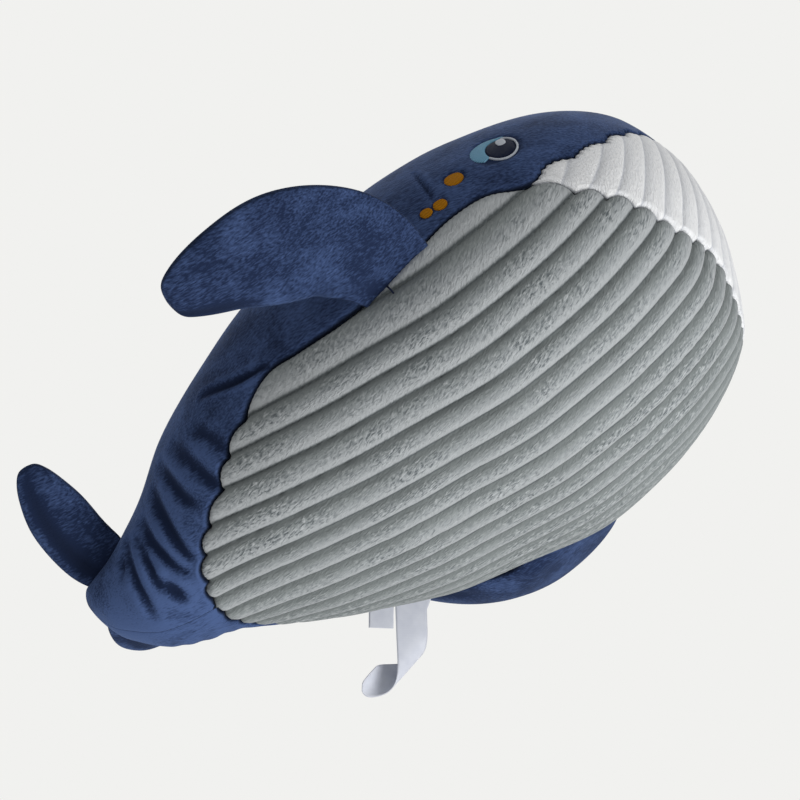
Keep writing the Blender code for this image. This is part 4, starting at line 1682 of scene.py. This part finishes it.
            # Painted shade through the fold attribute: all over, stronger at the root, and in the groove of
            # the lower leaf.
            shaded = self.shade_depth * (1.0 + math.exp(-((max(v, 0.0) / self.shade_span) ** 2)))
            shaded += 0.0 if layer else self.pressed(v, c)
            return point, {"seam": from_edge + self.edge_offset, "fold": -shaded, "row": v, "column": c}

        return shell(name, self.columns, self.rows, place)

    def inflate(self, piece: bpy.types.Object) -> None:
        """Blow the leaf up as cloth, so that it puckers, and hold its middle surface nearly in place.

        Args:
            piece: Closed leaf.
        """
        mesh = piece.data
        starts = [vert.co.copy() for vert in mesh.vertices]
        pins = piece.vertex_groups.new(name="sewn root")
        for vert in mesh.vertices:
            out = (vert.co - self.start).dot(self.out)
            pins.add([vert.index], 1.0 if out < self.pinned else 0.0, "REPLACE")
        cloth = piece.modifiers.new("cloth", "CLOTH")
        for name, value in CLOTH_SETTINGS.items():
            setattr(cloth.settings, name, value)
        cloth.settings.vertex_group_mass = pins.name
        cloth.settings.effector_weights.gravity = 0.0
        scene = bpy.context.scene
        for step in range(1, self.puff_frames + 1):
            scene.frame_set(step)
        graph = bpy.context.evaluated_depsgraph_get()
        shaped = piece.evaluated_get(graph).data
        moved = [vert.co.copy() for vert in shaped.vertices]
        piece.modifiers.clear()
        piece.vertex_groups.clear()
        scene.frame_set(1)
        pairs: dict[tuple[float, float], list[int]] = {}
        places = zip(mesh.attributes["row"].data, mesh.attributes["column"].data)
        for index, (row, column) in enumerate(places):
            pairs.setdefault((round(row.value, 4), round(column.value, 4)), []).append(index)
        for pair in pairs.values():
            drift = sum((moved[index] - starts[index] for index in pair), Vector()) / len(pair)
            for index in pair:
                way = moved[index] - starts[index] - drift * self.held
                if way.length > self.puff_cap:
                    way = way.normalized() * self.puff_cap
                mesh.vertices[index].co = starts[index] + way

    def build(self) -> list[bpy.types.Object]:
        """Make the limb's cloth and filling.

        Returns:
            The pieces.
        """
        cloth = self.leaf(f"{self.name}_cloth", self.slack, self.edge_offset, -1.0)
        self.inflate(cloth)
        smooth = cloth.modifiers.new("smooth", "SUBSURF")
        smooth.levels = smooth.render_levels = 1
        settle(cloth)
        for vert in cloth.data.vertices:
            vert.co.z = max(vert.co.z, self.floor_gap)
        Slot.NAVY.dress(cloth)
        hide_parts(f"{self.name}_upper_panel", f"{self.name}_lower_panel")
        start = self.start - self.out * self.sink
        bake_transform(cloth, "body", self.body, start, self.start + self.out * self.edge * 3)
        fill = self.slack * self.filling_share
        filling = self.leaf(f"{self.name}_filling", fill, self.filling_gap, self.filling_start)
        Slot.FIBRE.dress(filling)
        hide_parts(f"{self.name}_stuffing")
        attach(filling, self.body)
        return [cloth, filling]


@dataclass
class Limbs:
    """The pair of fins and the two lobes of the fluke."""

    pattern: Pattern
    fin_shares: tuple[float, float] = (0.541, 0.657)
    fluke_shares: tuple[float, float] = (0.0108, 0.0945)
    fluke_degrees: float = 130.0
    fluke_lift: float = math.radians(28.0)
    fin_lifts: tuple[float, float] = (math.radians(8.0), math.radians(32.0))
    fin_rises: tuple[float, float] = (4 * MM, 50 * MM)
    fin_widths: Table = (
        (0.00, 0.775),
        (0.10, 0.863),
        (0.20, 0.943),
        (0.42, 1.00),
        (0.60, 0.79),
        (0.80, 0.51),
        (0.92, 0.30),
        (1.00, 0.00),
    )
    fluke_widths: Table = (
        (0.00, 1.00),
        (0.20, 1.02),
        (0.45, 1.00),
        (0.65, 0.76),
        (0.82, 0.48),
        (0.93, 0.26),
        (1.00, 0.00),
    )

    def fin(self, side: Side, lift: float, tip_rise: float) -> Limb:
        """Describe one fin.

        Args:
            side: Side of the body.
            lift: Angle of the fin above level.
            tip_rise: How far its tip curls up.

        Returns:
            The fin.
        """
        places = (self.pattern.flank_place(along, side) for along in self.fin_shares)
        name = f"{side.word}_fin"
        return Limb(
            name=name,
            body=name,
            root=Root(self.pattern.form, *places, side),
            lift=lift,
            bend_reach=0.069,
            reach=0.082,
            sweep=0.0965,
            chord=0.070,
            thickness=0.021,
            tip_rise=tip_rise,
            widths=self.fin_widths,
            groove=(-0.55, 0.78, 0.30),
        )

    def lobe(self, side: Side) -> Limb:
        """Describe one lobe of the fluke.

        Args:
            side: Side of the body.

        Returns:
            The lobe.
        """
        places = (self.pattern.side_place(along, self.fluke_degrees, side) for along in self.fluke_shares)
        name = f"{side.word}_fluke_lobe"
        return Limb(
            name=name,
            body=name,
            root=Root(self.pattern.form, *places, side),
            lift=self.fluke_lift,
            bend_reach=0.018,
            reach=0.064,
            sweep=-0.0245,
            chord=0.036,
            thickness=0.015,
            tip_rise=0.0033,
            widths=self.fluke_widths,
            groove=(-0.28, 0.30, 0.55),
        )

    def build(self) -> list[bpy.types.Object]:
        """Make all four limbs.

        Returns:
            Their pieces.
        """
        limbs = [self.fin(*row) for row in zip(Side, self.fin_lifts, self.fin_rises)]
        limbs += [self.lobe(side) for side in Side]
        return [piece for limb in limbs for piece in limb.build()]


@dataclass
class Embroidery:
    """Satin-stitched eye and dots on one side of the head."""

    form: BodyForm
    pattern: Pattern
    side: Side
    eye_place: tuple[float, float] = (0.8160, 101.5)
    half_width: float = 9.7 * MM
    half_height: float = 12.2 * MM
    ring_width: float = 1.3 * MM
    shade_width: float = 9.2 * MM
    shade_table: Table = (
        (0.00, 0.03),
        (0.22, 0.30),
        (0.45, 0.68),
        (0.70, 0.98),
        (0.88, 0.88),
        (1.00, 0.50),
    )
    highlight: tuple[float, float] = (3.0 * MM, 4.4 * MM)
    glint: tuple[float, float] = (1.7 * MM, 5.6 * MM)
    shade_shift: tuple[float, float] = (-0.55, 0.1)
    shade_taper: tuple[float, float] = (0.20, 0.12)
    ring_turns: tuple[float, float] = (-158, 74)
    shade_turns: tuple[float, float] = (58, 206)
    base: float = -1.1 * MM
    crown: float = 0.7 * MM
    rim: float = 0.2 * MM
    raggedness: float = 0.25 * MM
    highlight_lift: float = 0.35 * MM
    band_faces: int = 96
    # The threads are drawn about twice as coarse as real ones, so that they show in the picture.
    thread_pitch: float = 0.8 * MM
    thread_way: tuple[float, float] = (0.9, 0.4)
    dots: Sequence[tuple[str, float, float, float]] = (
        ("large", 5.7 * MM, 0.7400, 96.2),
        ("middle", 4.2 * MM, 0.7046, 88.7),
        ("small", 3.7 * MM, 0.6825, 88.7),
    )

    def spot(self, along: float, degrees: float) -> Vector:
        """Place on this side."""
        return self.pattern.side_place(along, degrees, self.side)

    def presses(self) -> list[Press]:
        """Find what the eye and the dots press into the plush.

        Returns:
            The ovals.
        """
        eye = self.spot(*self.eye_place)
        halves = (self.half_width, self.half_height)
        shaded = Vector([share * self.shade_width for share in self.shade_shift])
        ovals = [Press(eye, halves), Press(eye, halves, shaded)]
        for _, radius, along, degrees in self.dots:
            ovals.append(Press(self.spot(along, degrees), (radius, radius)))
        return ovals

    def band(self, name: str, turns: tuple[float, float], extent: Extent, rows: int) -> bpy.types.Object:
        """Make a band of stitches round the pupil.

        Args:
            name: Name of the piece.
            turns: Angles round the eye at which it starts and ends.
            extent: Clearance and width of the band at a share of its length.
            rows: Count of faces across it.

        Returns:
            The piece.
        """
        eye = self.spot(*self.eye_place)
        inner_width = self.half_width - self.ring_width
        inner_height = self.half_height - self.ring_width
        span = math.radians(turns[1] - turns[0])

        def place(a: float, b: float, layer: int) -> Vertex:
            """Point of the band, and its thread."""
            turn = math.radians(turns[0]) + span * a
            thread = span * a * self.half_height / self.thread_pitch
            clear, wide = extent(a)
            grow = self.rim + clear + b * wide + noise.noise(Vector((thread, 0.0, b))) * self.raggedness * b
            shift = Vector(((inner_width + grow) * math.cos(turn), (inner_height + grow) * math.sin(turn)))
            rise = (1.0 - abs(2 * b - 1) ** 4) ** 0.5 * (1.0 - abs(2 * a - 1) ** 30) ** 0.5
            lift = self.base + layer * (self.rim + self.crown * rise)
            return self.form.shifted(eye, shift, lift), {"thread": thread}

        return shell(name, self.band_faces, rows, place)

    def disc(
        self, name: str, place: Vector, centre: Vector, halves: tuple[float, float], base: float, count: int
    ) -> bpy.types.Object:
        """Make an oval of parallel stitches.

        Args:
            name: Name of the piece.
            place: Place on the body.
            centre: Its centre, forward and up from the place.
            halves: Half width and half height.
            base: Height of its underside.
            count: Count of faces across it.

        Returns:
            The piece.
        """

        def spot(a: float, b: float, layer: int) -> Vertex:
            """Point of the oval, and its thread."""
            x, y = 2.0 * a - 1.0, 2.0 * b - 1.0
            wide, high = halves
            shift = Vector((x * math.sqrt(1.0 - y * y / 2) * wide, y * math.sqrt(1.0 - x * x / 2) * high))
            ahead, above = self.thread_way
            thread = (shift.x * ahead + shift.y * above) / self.thread_pitch
            rise = (1.0 - max(abs(x), abs(y)) ** 5) ** 0.5
            lift = base + layer * (self.rim + self.crown * rise)
            return self.form.shifted(place, centre + shift, lift), {"thread": thread}

        return shell(name, count, count, spot)

    def build(self) -> list[bpy.types.Object]:
        """Make the eye and the dots of this side.

        Returns:
            The pieces.
        """
        word = self.side.word
        eye = self.spot(*self.eye_place)
        halves = (self.half_width - self.ring_width, self.half_height - self.ring_width)
        middle = Vector((0, 0))
        glint = Vector(self.glint)
        raised = self.base + self.highlight_lift
        widths = SmoothTable(self.shade_table)

        def ring(_: float) -> tuple[float, float]:
            """Extent of the ring, the same all along it."""
            return 0.0, self.ring_width

        def shade(a: float) -> tuple[float, float]:
            """Extent of the shade, which tapers to a point above the ring."""
            end, ease = self.shade_taper
            return self.ring_width * clamp((end - a) / ease), self.shade_width * widths(a)[0]

        ring_piece = self.band(f"{word}_eye_ring_stitches", self.ring_turns, ring, 8)
        shade_piece = self.band(f"{word}_eye_shade_stitches", self.shade_turns, shade, 16)
        pupil = self.disc(f"{word}_pupil_stitches", eye, middle, halves, self.base, 32)
        highlight = self.disc(f"{word}_eye_highlight_stitches", eye, glint, self.highlight, raised, 16)
        made = [
            (ring_piece, "eye_ring", Slot.WHITE_THREAD),
            (shade_piece, "eye_shade", Slot.BLUE_THREAD),
            (pupil, "pupil", Slot.NAVY_THREAD),
            (highlight, "eye_highlight", Slot.WHITE_THREAD),
        ]
        for size, radius, along, degrees in self.dots:
            place = self.spot(along, degrees)
            dot = self.disc(f"{word}_{size}_dot_stitches", place, middle, (radius, radius), self.base, 24)
            made.append((dot, f"{size}_dot", Slot.OCHRE_THREAD))
        for piece, node, slot in made:
            slot.dress(piece)
            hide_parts(f"{word}_{node}")
            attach(piece, "body")
        return [piece for piece, _, _ in made]


@dataclass
class Label:
    """Bare strip of ribbon sewn into the left flank seam, its end rolled up about a skew line."""

    pattern: Pattern
    name: str
    along: float
    width: float
    length: float
    thickness: float
    droop: float = math.radians(34.0)
    sweep: float = math.radians(21.0)
    flare: float = 0.0
    flare_reach: float = 13 * MM
    rounding: float = 0.0
    roll_start: float = 26.5 * MM
    roll_ease: float = 12.0 * MM
    roll_radius: float = 7.0 * MM
    roll_skew: float = math.radians(45.0)
    roll_steps: int = 24
    ripple: float = 0.4 * MM
    ripple_pace: float = 11 * MM
    ripple_start: float = 8 * MM
    faces: tuple[int, int] = (90, 16)
    sink: float = 4.0 * MM
    # The weft is drawn about three times as coarse as the real one, so that it shows in the picture.
    weave: float = 0.9 * MM

    def rolled(self, past: float) -> tuple[float, float, float]:
        """Follow the roll, which tightens over its first part.

        Args:
            past: Way along the cloth from where the roll starts.

        Returns:
            The way ahead and upward, and the angle there.
        """
        steps = self.roll_steps
        reach = rise = turn = 0.0
        for step in range(steps):
            way = past * (step + 0.5) / steps
            turn = min(way, self.roll_ease) ** 2 / (2 * self.roll_ease) + max(way - self.roll_ease, 0.0)
            turn /= self.roll_radius
            reach += math.cos(turn) * past / steps
            rise += math.sin(turn) * past / steps
        return reach, rise, turn

    def build(self) -> bpy.types.Object:
        """Make the label.

        Returns:
            The piece.
        """
        half = self.width / 2 / self.pattern.form.length
        places = (self.pattern.flank_place(self.along + end, Side.LEFT) for end in (-half, half))
        root = Root(self.pattern.form, *places, Side.LEFT)
        out = root.level * math.cos(self.droop) - root.up * math.sin(self.droop)
        run = out * math.cos(self.sweep) - root.axis * math.sin(self.sweep)
        back = run.cross(root.axis).normalized() * -1.0
        across = run.cross(back)
        start = root.clear_point(self.thickness)
        roll_out = run * math.cos(self.roll_skew) + across * math.sin(self.roll_skew)
        total = self.length + self.sink

        def place(a: float, b: float, layer: int) -> Vertex:
            """Point of the strip, and its weft."""
            far = a * total - self.sink
            left = max((far - self.length + self.width / 2) / (self.width / 2), 0.0) * self.rounding
            beside = (b - 0.5) * self.width * math.sqrt(max(1.0 - left**4, 0.02))
            beside += self.flare * b * max(1.0 - max(far, 0.0) / self.flare_reach, 0.0)
            shift = run * (far - self.roll_start) + across * beside
            if far < 0:
                shift = root.axis * beside + run * (far - self.roll_start)
            past = max(shift.dot(roll_out), 0.0)
            reach, rise, turn = self.rolled(past)
            proud = (layer - 0.5) * self.thickness
            rolled = roll_out * (reach - proud * math.sin(turn) - past)
            depth = back * (rise + proud * math.cos(turn))
            wave = math.sin(far / self.ripple_pace) * self.ripple * clamp(far / self.ripple_start)
            point = start + run * self.roll_start + shift + rolled + depth + back * wave
            return point, {"thread": far / self.weave}

        piece = shell(f"{self.name}_ribbon", *self.faces, place)
        Slot.LABEL.dress(piece)
        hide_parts(self.name)
        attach(piece, self.name)
        return piece


@dataclass
class ClosingStitch:
    """Short doubled thread that closes the opening beside the right flank seam."""

    form: BodyForm
    pattern: Pattern
    along: float = 0.5820
    length: float = 6.5 * MM
    thickness: float = 1.0 * MM
    sway: float = 0.3 * MM
    sway_turn: float = 5.0
    sunk: float = 1.5 * MM
    bow: float = 2.5 * MM
    faces: tuple[int, int] = (8, 40)

    def build(self) -> bpy.types.Object:
        """Make the stitch.

        Returns:
            The piece.
        """
        place = self.pattern.flank_place(self.along, Side.RIGHT)

        def spot(a: float, b: float, layer: int) -> Vertex:
            """Point of the thread, and its twist."""
            way = -(1.0 - b) * self.length - self.thickness
            bowed = math.sin(b * math.pi) * self.bow - self.sunk
            shift = Vector(((a - 0.5) * self.thickness + self.sway * math.sin(self.sway_turn * b), way))
            round_off = math.sqrt(max(1.0 - (2 * a - 1) ** 2, 0.0))
            lift = bowed + (layer - 0.5) * self.thickness * round_off
            return self.form.shifted(place, shift, lift), {"thread": a * 2 + b * 6}

        piece = shell("closing_stitch_thread", *self.faces, spot)
        Slot.NAVY_THREAD.dress(piece)
        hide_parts("closing_stitch")
        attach(piece, "body")
        return piece


@dataclass
class Studio:
    """Pale floor, soft lamps above and below it, and the camera of the photograph."""

    form: BodyForm
    picture_width: float = 0.4318
    picture_pixels: int = 800
    aim: tuple[float, float] = (22.0, 373.0)
    view_turn: float = math.radians(42.0)
    roll: tuple[float, float] = (0.797, 0.604)
    lens: float = 1200.0
    sensor: float = 36.0
    view_depth: float = 60.0
    floor_size: float = 14.0
    fill: float = 0.40

    def camera(self) -> None:
        """Aim the camera as the photograph's was."""
        pixel = self.picture_width / self.picture_pixels
        aside, ahead = (pixel * count for count in self.aim)
        sine, cosine = math.sin(self.view_turn), math.cos(self.view_turn)
        forward = Vector((0.0, -1.0, 0.0))
        lower = Vector((cosine, 0.0, -sine))
        more, less = self.roll
        right = forward * more + lower * less
        up = forward * less - lower * more
        back = Vector((-sine, 0.0, -cosine))
        turn = self.form.laid.to_3x3()
        centre = self.form.laid @ Vector((aside * cosine, -ahead, -aside * sine))
        data = bpy.data.cameras.new("camera")
        data.lens = self.lens
        data.sensor_width = self.sensor
        data.clip_end = self.view_depth
        distance = self.lens / self.sensor * self.picture_width
        axes = Matrix([turn @ right.normalized(), turn @ up.normalized(), turn @ back]).transposed()
        camera = placed("camera", data)
        camera.matrix_world = Matrix.Translation(centre + turn @ back * distance) @ axes.to_4x4()
        bpy.context.scene.camera = camera
        self.right, self.up, self.back, self.centre = turn @ right, turn @ up, turn @ back, centre

    def lamp(self, name: str, way: Vector, distance: float, size: float, share: float) -> None:
        """Hang a soft square lamp.

        Args:
            name: Name of the lamp.
            way: Direction from the object to the lamp.
            distance: Distance from the object.
            size: Side of the lamp.
            share: Brightness that a white surface facing it gets.
        """
        data = bpy.data.lights.new(name, "AREA")
        data.size = size
        data.energy = share * math.pi**2 * distance**2
        lamp = placed(name, data)
        lamp.location = self.centre + way.normalized() * distance
        lamp.rotation_euler = way.to_track_quat("Z", "Y").to_euler()
        lamp.visible_camera = False

    def floor(self) -> None:
        """Lay the floor."""
        body = bmesh.new()
        bmesh.ops.create_grid(body, x_segments=1, y_segments=1, size=self.floor_size / 2)
        floor = mesh_from("studio_floor", body)
        floor.data.materials.append(StudioFloor().material())
        floor.visible_shadow = False
        floor.visible_diffuse = False

    def world(self) -> None:
        """Set the pale surroundings, which are seen brighter than the light that they give."""
        world = bpy.data.worlds.new("studio")
        bpy.context.scene.world = world
        world.use_nodes = True
        tree = world.node_tree
        seen = add(tree, "LightPath", output="Is Camera Ray")
        rays = seen.node.outputs
        for kind in ("Is Glossy Ray", "Is Transmission Ray"):
            seen = add(tree, "Math", {0: seen, 1: rays[kind]}, operation="MAXIMUM")
        light = add(tree, "Background", {"Color": linear("#FFFFFF"), "Strength": self.fill})
        pale = add(tree, "Background", {"Color": linear("#F1F1EF"), "Strength": 1.0})
        mixed = add(tree, "MixShader", {0: seen, 1: light, 2: pale})
        feed(tree, tree.nodes["World Output"], {0: mixed})

    def build(self) -> None:
        """Set up the whole studio."""
        self.camera()
        self.floor()
        self.world()
        lower = self.back * 0.8 + self.right * 0.9 - self.up * 0.9
        tail = self.back * 0.3 - self.right * 0.5 - self.up
        self.lamp("lower key", lower, distance=2.0, size=1.0, share=0.66)
        self.lamp("head fill", Vector((-0.25, -1.0, -0.35)), distance=2.0, size=0.8, share=0.26)
        self.lamp("tail fill", tail, distance=2.0, size=1.0, share=0.18)
        self.lamp("upper key", Vector((0.45, -0.1, 1.1)), distance=2.2, size=1.6, share=0.44)
        bpy.context.scene.view_settings.view_transform = "Standard"


def main() -> None:
    """Dress the whale and set up the studio."""
    logging.basicConfig(level=logging.INFO, format="%(name)s: %(message)s")
    form = BodyForm()
    pattern = Pattern(form)
    studio = Studio(form)
    studio.build()
    stitching = [Embroidery(form, pattern, side) for side in Side]
    presses = [press for work in stitching for press in work.presses()]
    pieces = BodyCloth(form, pattern, SeamField(pattern), presses=presses).build()
    pieces += Limbs(pattern).build()
    for work in stitching:
        pieces += work.build()
    labels = (
        Label(pattern, "care_label", 0.3640, 18.0 * MM, 76.0 * MM, 0.6 * MM, flare=5.5 * MM, rounding=1.0),
        Label(pattern, "side_tag", 0.3230, 14.0 * MM, 16.0 * MM, 1.2 * MM),
    )
    pieces += [label.build() for label in labels]
    pieces.append(ClosingStitch(form, pattern).build())
    for piece in pieces:
        LOG.info("%s: %d faces", piece.name, len(piece.data.polygons))


if __name__ == "__main__":
    main()
